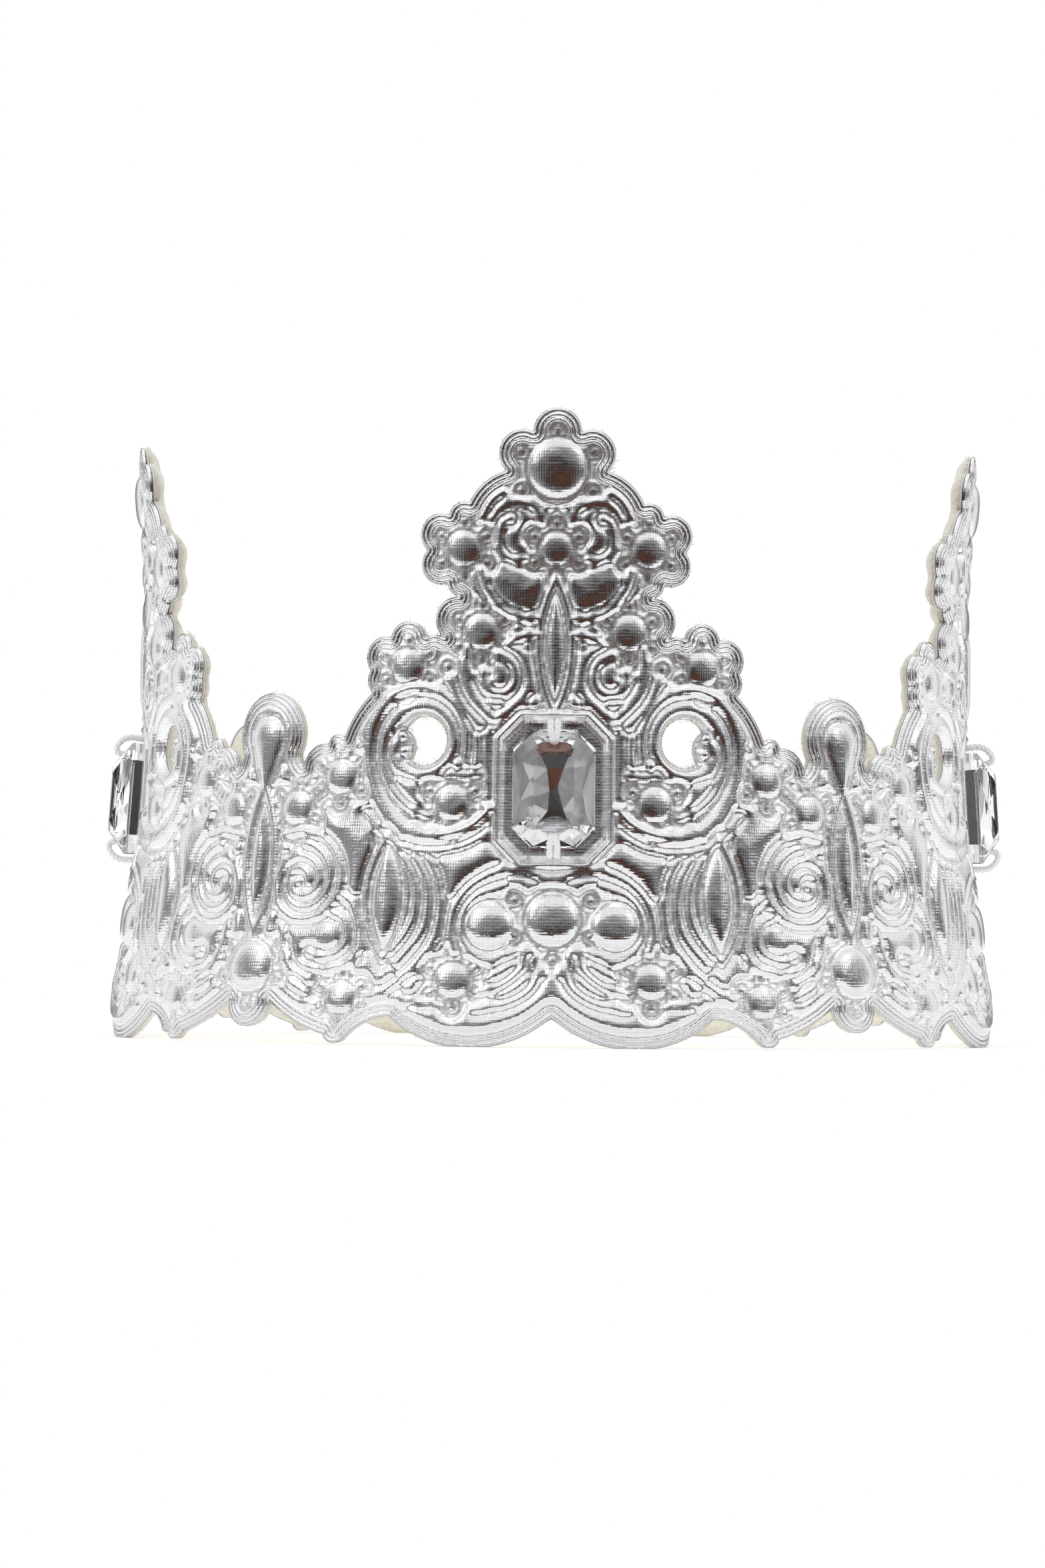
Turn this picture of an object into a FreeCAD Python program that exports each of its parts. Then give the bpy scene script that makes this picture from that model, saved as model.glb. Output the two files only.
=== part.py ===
import FreeCAD, Part
import math
import os

# Soft dress-up crown: a strip of silver cloth, foam and fleece stands in an oval, three stones are
# sewn on it and a webbing tab closes it behind. Millimetres, +Z up, the front faces -Y.
# Every sheet is drawn flat as (u, z): u runs round the crown from the middle of the front,
# z is the height, and the drawing is then laid on the curved wall.

# Plan of the wall
HALF_WIDTH = 85.6          # half the oval's width at the level where u is measured
PLAN_RATIO = 0.9           # depth of the oval over its width
PERIOD = 120.0             # from one peak to the next
BAND_END = 244.0           # u of each free end behind
END_RADIUS = 8.0
MIDDLE_Y = 0.148            # brings the middle of the footprint, front stone to tab, to the origin

# Sheets, as distance outward from the outside of the silver cloth
CLOTH_INSIDE = -0.8
FOAM_INSIDE = -3.2
LINING_INSIDE = -4.2

# Scroll holes beside each peak
HOLE_U = 25.5
HOLE_Z = 57.2
HOLE_RADIUS = 4.6

# Stones
STONE_Z = 48.0
STONE_HALF_WIDTH = 7.75
STONE_HALF_HEIGHT = 11.15
STONE_CORNER = 3.6
STONE_GIRDLE = 1.8
STONE_HEIGHT = 5.6
FOIL_FACE = 0.6            # how far the flat face of the foil stands off the cloth
STONE_HOLE_Z = 8.9         # sewing holes above and below the stone's centre
STONE_HOLE_RADIUS = 1.0
THREAD_RADIUS = 0.8

# Closure behind
TAB_BOTTOM = 12.0
TAB_TOP = 40.0
TAB_THICKNESS = 1.4
TAB_FREE_END = 207.3
FOLD = 266.9               # where the webbing bends, just short of the other end of the band
FOLD_GAP = 0.15
ROOT_EDGE = -230.0
PATCH_THICKNESS = 1.2
PATCH_GAP = 0.2            # left between the hooks and the loops
LOOP_PATCH = (210.0, 240.0, 13.0, 39.0)
HOOK_PATCH = (209.3, 236.0, 14.0, 38.0)
SEWING_RADIUS = 0.35
SUNK = 0.4                 # middle of a thread that lies in a patch's pile, from the patch's face
STITCH = 4.0

# Half a period of the outline: arcs as (start, through, end), from a peak out to the low pip
CREST = [
    ((0, 119.7), (3.2, 118.5), (4.6, 115.2)),
    ((4.6, 115.2), (10.8, 112.9), (9.8, 107.9)),
    ((9.8, 107.9), (13.8, 105.9), (16.9, 102.0)),
    ((16.9, 102.0), (19.6, 101.7), (20.9, 99.7)),
    ((20.9, 99.7), (26.4, 97.2), (25.3, 93.1)),
    ((25.3, 93.1), (26.2, 89.2), (21.2, 86.9)),
    ((21.2, 86.9), (20.6, 85.3), (18.9, 84.3)),
    ((18.9, 84.3), (23.4, 81.1), (21.8, 76.6)),
    ((21.8, 76.6), (23.7, 77.2), (25.6, 76.7)),
    ((25.6, 76.7), (29.2, 79.8), (32.7, 76.8)),
    ((32.7, 76.8), (37.4, 74.8), (37.0, 70.6)),
    ((37.0, 70.6), (37.5, 68.4), (36.5, 66.3)),
    ((36.5, 66.3), (39.85, 62.6), (42.3, 57.9)),
]
VALLEY = [
    ((42.3, 57.9), (44.6, 58.4), (45.8, 56.8)),
    ((45.8, 56.8), (49.8, 55.6), (51.4, 52.4)),
    ((51.4, 52.4), (52.4, 53.4), (52.9, 54.9)),
    ((52.9, 54.9), (53.9, 63.9), (60.0, 66.8)),
]
SCALLOP = [
    ((0, 5.5), (15.0, -0.3), (29.8, 5.5)),
]
LOW_EDGE = [
    ((29.8, 5.5), (34.4, 4.3), (38.0, 1.7)),
    ((38.0, 1.7), (40.4, 0.3), (42.6, 1.9)),
    ((42.6, 1.9), (49.2, 4.4), (55.2, 8.2)),
    ((55.2, 8.2), (56.6, 4.4), (60.0, 3.1)),
]
# The plain end behind, drawn on the right: from the last notch over to the valley
PLAIN_END = [
    ((210.2, 5.5), (217.4, 1.2), (225.0, -0.3)),
    ((225.0, -0.3), (BAND_END - END_RADIUS, -0.3)),
    ((BAND_END - END_RADIUS, -0.3), (241.66, 2.04), (BAND_END, END_RADIUS - 0.3)),
    ((BAND_END, END_RADIUS - 0.3), (BAND_END, 38.0)),
    ((BAND_END, 38.0), (242.2, 42.3), (238.0, 44.3)),
    ((238.0, 44.3), (226.0, 47.6), (214.0, 49.6)),
    ((214.0, 49.6), (207.2, 51.6), (202.4, 55.2)),
    ((202.4, 55.2), (200.4, 56.9), (197.7, 57.9)),
]

Vec = FreeCAD.Vector
Flat = FreeCAD.Base.Vector2d
OVAL = Part.Ellipse(Vec(0, 0, 0), HALF_WIDTH, PLAN_RATIO * HALF_WIDTH)
ROUND = OVAL.length()


def wall_point(u, z, outward):
    """The point of the wall at (u, z), moved outward along the level normal."""
    angle = OVAL.parameterAtDistance(u, -math.pi / 2)
    h = z / 100
    width = 90.4 - 18.6 * h + 12.5 * h * h
    normal = Vec(PLAN_RATIO * math.cos(angle), math.sin(angle), 0).normalize()
    return Vec(width * math.cos(angle), PLAN_RATIO * width * math.sin(angle), z) + normal * outward


def skin(outward):
    """The wall's surface at a distance outward, which may depend on u. Its parameters are (u, z)."""
    rows = []
    for i in range(109):
        u = -250 + 5 * i
        distance = outward(u) if callable(outward) else outward
        rows.append([wall_point(u, -4 + 16 * j, distance) for j in range(9)])
    surface = Part.BSplineSurface()
    surface.approximate(Points=rows, DegMin=3, DegMax=5, Continuity=2, Tolerance=0.001,
                        ParamType="Uniform")
    surface.scaleKnotsToBounds(-250, 290, -4, 124)
    return surface


def laid_edges(outline, surface):
    edges = []
    for points in outline:
        flat = [Flat(*p) for p in points]
        curve = Part.Geom2d.ArcOfCircle2d(*flat) if len(flat) == 3 else Part.Geom2d.Line2dSegment(*flat)
        edges.append(curve.toShape(surface))
    return edges


def sheet(outlines, inside, outside):
    """A solid between two skins, cut to closed outlines: the first is the edge, the rest are holes."""
    faces = []
    loops = []
    for surface in (inside, outside):
        edges = [laid_edges(outline, surface) for outline in outlines]
        wires = [Part.Wire(Part.__sortEdges__(list(loop))) for loop in edges]
        face = Part.Face(surface, wires[0])
        if wires[1:]:
            face.cutHoles(wires[1:])
        face.validate()
        faces.append(face)
        loops.append([edge for loop in edges for edge in loop])
    for inner_edge, outer_edge in zip(*loops):
        faces.append(Part.makeRuledSurface(inner_edge, outer_edge))
    shell = Part.makeCompound(faces)
    shell.sewShape(0.01)
    solid = Part.Solid(shell.Shells[0])
    if solid.Volume < 0:
        solid.reverse()
    return solid


def placed(outline, centre, side):
    return [tuple((centre + side * u, z) for u, z in points) for points in outline]


def band_outline():
    outline = []
    for centre in (-PERIOD, 0, PERIOD):
        for side in (-1, 1):
            outline += placed(CREST + VALLEY + SCALLOP + LOW_EDGE, centre, side)
    for side in (-1, 1):
        outline += placed(VALLEY + LOW_EDGE, 2 * PERIOD * side, -side)
        outline += placed(PLAIN_END, 0, side)
    return outline


def scroll_holes():
    """A round hole with a tongue of cloth reaching in from the side away from the peak."""
    holes = []
    tip = (HOLE_U + 4.05, HOLE_Z + 2.2)
    heel = (HOLE_U + 2.8, HOLE_Z - 3.65)
    hole = [
        (tip, (HOLE_U - HOLE_RADIUS, HOLE_Z), heel),
        (heel, (HOLE_U + 2.1, HOLE_Z - 0.2), tip),
    ]
    for centre in (-PERIOD, 0, PERIOD):
        for side in (-1, 1):
            holes.append(placed(hole, centre, side))
    return holes


def rounded_rectangle(u0, u1, z0, z1, r):
    k = r * (1 - math.sqrt(0.5))
    return [
        ((u0 + r, z0), (u1 - r, z0)),
        ((u1 - r, z0), (u1 - k, z0 + k), (u1, z0 + r)),
        ((u1, z0 + r), (u1, z1 - r)),
        ((u1, z1 - r), (u1 - k, z1 - k), (u1 - r, z1)),
        ((u1 - r, z1), (u0 + r, z1)),
        ((u0 + r, z1), (u0 + k, z1 - k), (u0, z1 - r)),
        ((u0, z1 - r), (u0, z0 + r)),
        ((u0, z0 + r), (u0 + k, z0 + k), (u0 + r, z0)),
    ]


def thread(path, radius):
    """A round thread along straight runs, with a ball at every turn."""
    pieces = [Part.makeSphere(radius, path[0])]
    for start, end in zip(path, path[1:]):
        run = end - start
        pieces.append(Part.makeCylinder(radius, run.Length, start, run))
        pieces.append(Part.makeSphere(radius, end))
    return pieces[0].fuse(pieces[1:])


def octagon(half_width, half_height, corner, level):
    w, h, c = half_width, half_height, corner
    points = [(c - w, -h), (w - c, -h), (w, c - h), (w, h - c), (w - c, h), (c - w, h), (-w, h - c),
              (-w, c - h), (c - w, -h)]
    return Part.makePolygon([Vec(x, y, level) for x, y in points])


def stone_place(u, surface):
    """Stands a stone on the wall: its own Z points outward and its own Y points up the wall."""
    outward = surface.normal(u, STONE_Z)
    centre = surface.value(u, STONE_Z)
    if outward.dot(Vec(centre.x, centre.y, 0)) < 0:
        outward = outward * -1
    along = Vec(0, 0, 1).cross(outward).normalize()
    upward = outward.cross(along)
    return FreeCAD.Placement(centre, FreeCAD.Rotation(along, upward, outward, "ZXY"))


def stone():
    """A sew-on stone: a straight girdle, sloping facets up to a flat table, two sewing holes."""
    size = (STONE_HALF_WIDTH, STONE_HALF_HEIGHT, STONE_CORNER)
    girdle_top = FOIL_FACE + STONE_GIRDLE
    base = octagon(*size, FOIL_FACE)
    girdle = octagon(*size, girdle_top)
    table = octagon(STONE_HALF_WIDTH - 4.2, STONE_HALF_HEIGHT - 5.0, STONE_CORNER - 1.2,
                    FOIL_FACE + STONE_HEIGHT)
    body = Part.makeLoft([base, girdle, table], True, True)
    return body.cut(bores(STONE_HOLE_RADIUS, (-STONE_HOLE_Z, STONE_HOLE_Z)))


def foil_blank():
    """The foil backing before the wall's curve is cut out of its back."""
    outline = octagon(STONE_HALF_WIDTH, STONE_HALF_HEIGHT, STONE_CORNER, -0.6)
    blank = Part.Face(outline).extrude(Vec(0, 0, FOIL_FACE + 0.6))
    return blank.cut(bores(STONE_HOLE_RADIUS, (-STONE_HOLE_Z, STONE_HOLE_Z)))


def bores(radius, levels):
    pins = [Part.makeCylinder(radius, 20, Vec(0, y, -8)) for y in levels]
    return Part.makeCompound(pins)


def stone_thread():
    """One thread: over the top edge, down behind the lining, over the bottom edge, two knots."""
    over = STONE_HALF_HEIGHT + 1.25
    behind = LINING_INSIDE - THREAD_RADIUS - 0.05
    half = [Vec(0, over, behind), Vec(0, over, 3.4), Vec(0, STONE_HOLE_Z, 5.7),
            Vec(0, STONE_HOLE_Z, behind)]
    path = half + [Vec(p.x, -p.y, p.z) for p in reversed(half)]
    knots = [Part.makeSphere(1.5, Vec(0, y, behind - 0.6)) for y in (-over, over)]
    return thread(path, THREAD_RADIUS).fuse(knots)


def sewing(outline_box, outside, inside):
    """A running stitch round a box: one stitch shows outside, the next one inside."""
    u0, u1, z0, z1 = outline_box
    corners = [(u0, z0), (u1, z0), (u1, z1), (u0, z1), (u0, z0)]
    needle = []
    for (ua, za), (ub, zb) in zip(corners, corners[1:]):
        count = max(2, 2 * round(math.hypot(ub - ua, zb - za) / STITCH / 2))
        needle += [(ua + (ub - ua) * i / count, za + (zb - za) * i / count) for i in range(count)]
    path = []
    for i, (u, z) in enumerate(needle):
        passes = (inside.value(u, z), outside.value(u, z))
        path += passes if i % 2 == 0 else passes[::-1]
    return thread(path, SEWING_RADIUS)


def tab_lift(u):
    """How far the tab's inside stands off the wall: flat on it at the fold, over both patches past it."""
    t = min(max((262.0 - u) / 20.0, 0.0), 1.0)
    return (2 * PATCH_THICKNESS + PATCH_GAP) * t * t * (3 - 2 * t)


def band_sheets(skins):
    outlines = [band_outline()] + scroll_holes()
    below = Part.makeBox(400, 400, 10, Vec(-200, -200, -10))
    sheets = {
        "face_cloth": sheet(outlines, skins["cloth_inside"], skins["cloth"]),
        "foam_core": sheet(outlines, skins["foam_inside"], skins["cloth_inside"]),
        "lining": sheet(outlines, skins["lining_inside"], skins["foam_inside"]),
    }
    return {name: solid.cut(below) for name, solid in sheets.items()}


def stones(parts, skins):
    """Adds the three stones, their foils and threads, and bores the band for the threads."""
    over = STONE_HALF_HEIGHT + 1.25
    levels = (-over, -STONE_HOLE_Z, STONE_HOLE_Z, over)
    for name, u in (("front", 0), ("right", PERIOD), ("left", -PERIOD)):
        place = stone_place(u, skins["cloth"])
        made = {"stone": stone(), "foil": foil_blank(), "thread": stone_thread(),
                "bores": bores(THREAD_RADIUS, levels)}
        for piece in made.values():
            piece.Placement = place
        parts[name + "_stone"] = made["stone"]
        parts[name + "_stone_foil"] = made["foil"].cut(parts["face_cloth"])
        parts[name + "_stone_thread"] = made["thread"]
        for sheet_name in ("face_cloth", "foam_core", "lining"):
            parts[sheet_name] = parts[sheet_name].cut(made["bores"])


def closure(parts, skins):
    """The webbing tab behind, its two patches and the stitching that holds all three."""
    root_start = FOLD + FOLD_GAP - ROUND
    loop_skin = skin(PATCH_THICKNESS)
    hook_inside = skin(lambda u: tab_lift(u) - PATCH_THICKNESS)
    tab_inside = skin(tab_lift)
    tab_outside = skin(lambda u: tab_lift(u) + TAB_THICKNESS)
    root_outside = skin(TAB_THICKNESS)
    parts["tab_root"] = sheet([rounded_rectangle(root_start, ROOT_EDGE, TAB_BOTTOM, TAB_TOP, 0.5)],
                              skins["cloth"], root_outside)
    parts["closing_tab"] = sheet([rounded_rectangle(TAB_FREE_END, FOLD - FOLD_GAP, TAB_BOTTOM, TAB_TOP,
                                                    0.5)], tab_inside, tab_outside)
    parts["loop_patch"] = sheet([rounded_rectangle(*LOOP_PATCH, 2.0)], skins["cloth"], loop_skin)
    parts["hook_patch"] = sheet([rounded_rectangle(*HOOK_PATCH, 2.0)], hook_inside, tab_inside)
    u0, u1, z0, z1 = LOOP_PATCH
    parts["loop_patch_stitches"] = sewing((u0 + 2, u1 - 2, z0 + 2, z1 - 2),
                                          skin(PATCH_THICKNESS - SUNK), skin(LINING_INSIDE - 0.2))
    u0, u1, z0, z1 = HOOK_PATCH
    parts["hook_patch_stitches"] = sewing((u0 + 2, u1 - 2, z0 + 2, z1 - 2), tab_outside,
                                          skin(lambda u: tab_lift(u) - PATCH_THICKNESS + SUNK))
    parts["tab_root_stitches"] = sewing((root_start + 3.5, ROOT_EDGE - 2, TAB_BOTTOM + 2, TAB_TOP - 2),
                                        root_outside, skin(LINING_INSIDE - 0.2))


def crown():
    skins = {
        "cloth": skin(0.0),
        "cloth_inside": skin(CLOTH_INSIDE),
        "foam_inside": skin(FOAM_INSIDE),
        "lining_inside": skin(LINING_INSIDE),
    }
    parts = band_sheets(skins)
    stones(parts, skins)
    closure(parts, skins)
    return parts


os.makedirs("parts", exist_ok=True)
for name, shape in crown().items():
    solid = shape.Solids[0]
    solid.translate(Vec(0, MIDDLE_Y, 0))
    solid.exportStep("parts/" + name + ".step")
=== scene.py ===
import bmesh
import bpy
import math
import numpy as np
from mathutils import Matrix, Vector
from mathutils.geometry import delaunay_2d_cdt


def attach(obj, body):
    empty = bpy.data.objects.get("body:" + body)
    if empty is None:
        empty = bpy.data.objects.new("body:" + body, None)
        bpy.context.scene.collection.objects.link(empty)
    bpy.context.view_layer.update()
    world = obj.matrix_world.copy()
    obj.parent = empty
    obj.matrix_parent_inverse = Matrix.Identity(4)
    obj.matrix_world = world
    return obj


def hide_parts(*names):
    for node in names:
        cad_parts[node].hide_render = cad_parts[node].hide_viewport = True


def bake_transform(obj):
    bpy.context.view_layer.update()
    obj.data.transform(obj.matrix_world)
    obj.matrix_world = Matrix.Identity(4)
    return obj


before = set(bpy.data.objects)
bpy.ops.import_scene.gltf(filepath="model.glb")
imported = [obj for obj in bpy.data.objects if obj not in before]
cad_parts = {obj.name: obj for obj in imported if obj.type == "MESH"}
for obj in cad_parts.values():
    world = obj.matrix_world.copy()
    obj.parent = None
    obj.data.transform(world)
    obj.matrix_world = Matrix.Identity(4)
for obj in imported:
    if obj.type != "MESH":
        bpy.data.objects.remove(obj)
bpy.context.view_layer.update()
mm = 0.001

# --- Silver cloth -------------------------------------------------------------------------------------
# The outside of the crown is one strip of silver lame, fused to foam and pressed hot between two dies:
# beads, scrolls, leaves and ribs stay puffed up, and the lines between them are crushed flat and bright.
# It is drawn flat as (u, z) in millimetres: u runs round from the middle of the front, z is the height.
half_width = 85.6                     # of the oval, at the level where u is measured
plan_ratio = 0.9                      # the oval's depth over its width
middle_y = 0.148
period = 120.0                        # from one peak to the next
cloth_thickness = 0.8
border = 2.6                          # width of the corded border along the cut edge
cord_pitch = 0.87                     # between its cords
stone_z = 48.0

oval_angle = np.radians(np.linspace(-360.0, 180.0, 5401))
oval_speed = np.hypot(half_width * np.sin(oval_angle), plan_ratio * half_width * np.cos(oval_angle))
oval_length = np.concatenate([[0], np.cumsum((oval_speed[1:] + oval_speed[:-1]) / 2 * np.diff(oval_angle))])
round_the_oval = oval_length[3600]
oval_length -= np.interp(-math.pi / 2, oval_angle, oval_length)


def on_wall(u, z, out):
    """Points of the bent wall, in metres, for flat places (u, z) and a distance outward."""
    u, z, out = np.broadcast_arrays(np.asarray(u, float), np.asarray(z, float), np.asarray(out, float))
    angle = np.interp(u, oval_length, oval_angle)
    h = z / 100
    width = 90.4 - 18.6 * h + 12.5 * h * h
    across, back = plan_ratio * np.cos(angle), np.sin(angle)
    size = np.hypot(across, back)
    x = width * np.cos(angle) + out * across / size
    y = plan_ratio * width * np.sin(angle) + out * back / size + middle_y
    return np.stack([x, y, z], axis=-1) * mm


def arcs_through(points):
    """Arcs end to end, each (start, through, end), from the points in order."""
    return list(zip(points[::2], points[1::2], points[2::2]))


# Half a period of the cut edge, from a peak out to the low pip
crest = arcs_through([
    (0, 119.7), (3.2, 118.5), (4.6, 115.2), (10.8, 112.9), (9.8, 107.9), (13.8, 105.9), (16.9, 102.0),
    (19.6, 101.7), (20.9, 99.7), (26.4, 97.2), (25.3, 93.1), (26.2, 89.2), (21.2, 86.9), (20.6, 85.3),
    (18.9, 84.3), (23.4, 81.1), (21.8, 76.6), (23.7, 77.2), (25.6, 76.7), (29.2, 79.8), (32.7, 76.8),
    (37.4, 74.8), (37.0, 70.6), (37.5, 68.4), (36.5, 66.3), (39.85, 62.6), (42.3, 57.9)
])
valley = arcs_through([
    (42.3, 57.9), (44.6, 58.4), (45.8, 56.8), (49.8, 55.6), (51.4, 52.4), (52.4, 53.4), (52.9, 54.9),
    (53.9, 63.9), (60.0, 66.8)
])
scallop = arcs_through([
    (0, 5.5), (15.0, -0.3), (29.8, 5.5)
])
low_edge = arcs_through([
    (29.8, 5.5), (34.4, 4.3), (38.0, 1.7), (40.4, 0.3), (42.6, 1.9), (49.2, 4.4), (55.2, 8.2),
    (56.6, 4.4), (60.0, 3.1)
])
# The plain end behind, as far as the notch and the valley, drawn from the peak that it leaves out
plain_end = arcs_through([
    (29.8, 5.5), (22.6, 1.2), (15.0, -0.3), (5.5, -0.35), (4.0, -0.3), (-1.66, 2.04), (-4.0, 7.7),
    (-4.05, 22.0), (-4.0, 38.0), (-2.2, 42.3), (2.0, 44.3), (14.0, 47.6), (26.0, 49.6), (32.8, 51.6),
    (37.6, 55.2), (39.6, 56.9), (42.3, 57.9)
])
# Each scroll hole is round, with a tongue of cloth reaching in from the side away from the peak
scroll_hole = arcs_through([
    (29.55, 59.4), (20.9, 57.2), (28.3, 53.55), (27.6, 57.0), (29.55, 59.4)
])


def arc_circle(arc):
    """Centre, radius, start angle and turn of the arc through three points."""
    (ax, ay), (bx, by), (cx, cy) = arc
    d = 2 * (ax * (by - cy) + bx * (cy - ay) + cx * (ay - by))
    a2, b2, c2 = ax * ax + ay * ay, bx * bx + by * by, cx * cx + cy * cy
    x = (a2 * (by - cy) + b2 * (cy - ay) + c2 * (ay - by)) / d
    y = (a2 * (cx - bx) + b2 * (ax - cx) + c2 * (bx - ax)) / d
    start, middle, end = (math.atan2(q - y, p - x) for p, q in arc)
    turn = (end - start) % (2 * math.pi)
    if (middle - start) % (2 * math.pi) > turn:
        turn -= 2 * math.pi
    return x, y, math.hypot(ax - x, ay - y), start, turn


def nearest_on_edge(u, z, arcs):
    """Distance from flat places to a cut edge, and the nearest place on it."""
    best = np.full(u.shape, 1e9)
    near_u, near_z = np.zeros(u.shape), np.zeros(u.shape)
    for arc in arcs:
        x, y, radius, start, turn = arc_circle(arc)
        along = (np.arctan2(z - y, u - x) - start) * np.sign(turn) % (2 * math.pi)
        beyond = along > abs(turn)
        to_start = np.hypot(u - arc[0][0], z - arc[0][1]) < np.hypot(u - arc[2][0], z - arc[2][1])
        along = np.where(beyond, np.where(to_start, 0, abs(turn)), along) * np.sign(turn) + start
        p, q = x + radius * np.cos(along), y + radius * np.sin(along)
        gap = np.hypot(u - p, z - q)
        closer = gap < best
        best = np.where(closer, gap, best)
        near_u, near_z = np.where(closer, p, near_u), np.where(closer, q, near_z)
    return best, near_u, near_z


def edge_polygon(arcs, corners=()):
    """The arcs as a run of points, 8 to an arc, closed by the given corners."""
    points = []
    for arc in arcs:
        x, y, radius, start, turn = arc_circle(arc)
        for k in range(8):
            a = start + turn * k / 8
            points.append((x + radius * math.cos(a), y + radius * math.sin(a)))
    return points + list(corners)


def within(u, z, polygon):
    inside = np.zeros(u.shape, bool)
    for (pu, pz), (qu, qz) in zip(polygon, polygon[1:] + polygon[:1]):
        if pz != qz:
            crosses = (pz > z) != (qz > z)
            inside ^= crosses & (u < (qu - pu) * (z - pz) / (qz - pz) + pu)
    return inside


class Pressing:
    """The relief pressed into a flat plate, shape by shape. It keeps the two nearest shapes to each
    place: the distance to the shape's edge (negative inside), how far its shoulder reaches in, its
    height, its flatness, and whether it may spread to meet its neighbour."""

    def __init__(self, u, z):
        self.u, self.z = u, z
        self.first = np.stack([np.full(u.shape, value) for value in (9.0, 1.0, 0.0, 2.0, 0.0)])
        self.second = self.first.copy()

    def shape(self, gap, soft, height, flatness=2.0, spreads=0.0):
        fresh = np.stack([gap] + [np.full(gap.shape, value) for value in (soft, height, flatness, spreads)])
        closer = gap < self.first[0]
        passed = np.where(closer, self.first, fresh)
        self.first = np.where(closer, fresh, self.first)
        self.second = np.where(passed[0] < self.second[0], passed, self.second)

    def dome(self, u, z, radius, height):
        self.shape(np.hypot(self.u - u, self.z - z) - radius, radius, height, 2.5)

    def ring(self, u, z, radius, half, height):
        self.shape(abs(np.hypot(self.u - u, self.z - z) - radius) - half, half, height)

    def pip(self, u, z):
        self.dome(u, z, 0.95, 0.6)
        self.ring(u, z, 1.5, 0.42, 0.55)

    def bead(self, u, z, radius, pips=(90, 30, -30, -90, -150, 150)):
        self.dome(u, z, radius, 0.15 + 0.3 * radius)
        self.ring(u, z, radius + 0.45, 0.36, 0.6)
        for degrees in pips:
            a = math.radians(degrees)
            self.pip(u + (radius + 1.5) * math.cos(a), z + (radius + 1.5) * math.sin(a))

    def rib(self, points, half, height=1.2, spreads=1.0):
        """A rounded rib along a smooth line. half is one width, or widths spaced evenly along it. Where
        the line winds past itself, the other lap counts as a neighbour."""
        line = smooth_line(points)
        widths = np.interp(np.linspace(0, 1, len(line)), np.linspace(0, 1, np.size(half)),
                           np.atleast_1d(half))
        close = ((self.u > line[:, 0].min() - 4) & (self.u < line[:, 0].max() + 4)
                 & (self.z > line[:, 1].min() - 4) & (self.z < line[:, 1].max() + 4))
        u, z = self.u[close], self.z[close]
        apart = np.hypot(u - line[:, :1], z - line[:, 1:]) - widths[:, None]
        nearest = apart.argmin(axis=0)
        laps = [apart.min(axis=0)]
        if len(line) > 80:
            same_lap = abs(np.arange(len(line))[:, None] - nearest) < 30
            laps.append(np.where(same_lap, 9.0, apart).min(axis=0))
        for lap in laps:
            gap = np.full(self.u.shape, 9.0)
            gap[close] = lap
            self.shape(gap, np.max(half), height, spreads=spreads)

    def leaf(self, u, z, half, tall, height, rim):
        """A pointed leaf between two arcs, with a rib following it all round."""
        radius = (tall * tall + half * half) / (2 * half)
        side = radius - half
        gap = np.maximum(np.hypot(self.u - u - side, self.z - z), np.hypot(self.u - u + side, self.z - z))
        self.shape(gap - radius, half, height)
        self.shape(abs(gap - radius - rim) - rim + 0.12, rim - 0.12, 0.9)

    def relief(self):
        """Height of the relief, and how far each place is inside a shape or a pad."""
        gap, soft, height, flatness, spreads = self.first
        gap_2, soft_2, height_2, flatness_2, spreads_2 = self.second
        between = gap + gap_2
        opening = np.clip((between - 1.5) / 0.7, 0, 1)
        opening = opening * opening * (3 - 2 * opening)
        reach = np.clip(between, 0, 1.8) * (1 - opening) / np.maximum(spreads + spreads_2, 1)
        inset, inset_2 = reach * spreads - gap, reach * spreads_2 - gap_2
        rise = height * swelling(inset / (soft + reach * spreads), flatness)
        rise = np.maximum(rise, height_2 * swelling(inset_2 / (soft_2 + reach * spreads_2), flatness_2))
        pad = 0.95 * swelling(gap / 1.3, 2) + 0.6 * (1 - (1 - np.clip(gap / 5.0, 0, 1)) ** 2)
        rise = np.maximum(rise, pad * opening)
        return rise, np.maximum(np.maximum(inset, inset_2), gap * opening)


def swelling(t, flatness):
    """The side of a rounded form: 0 at its foot (t = 0) and 1 at its middle (t = 1)."""
    return np.sqrt(1 - (1 - np.clip(t, 0, 1)) ** flatness)


def smooth_line(points, step=0.2, whole=int):
    """A smooth line through points, with a place every step or so. whole makes the counts whole."""
    p = np.array(points, float)
    p = np.vstack([2 * p[0] - p[1], p, 2 * p[-1] - p[-2]])
    line = []
    for a, b, c, d in zip(p, p[1:], p[2:], p[3:]):
        count = max(2, whole(np.linalg.norm(c - b) / step))
        t = np.linspace(0, 1, count, endpoint=False)[:, None]
        line.append(b + t * ((c - a) / 2 + t * (a - 2.5 * b + 2 * c - d / 2
                                                + t * (-a + 3 * b - 3 * c + d) / 2)))
    return np.vstack(line + [p[-2:-1]])


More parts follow.
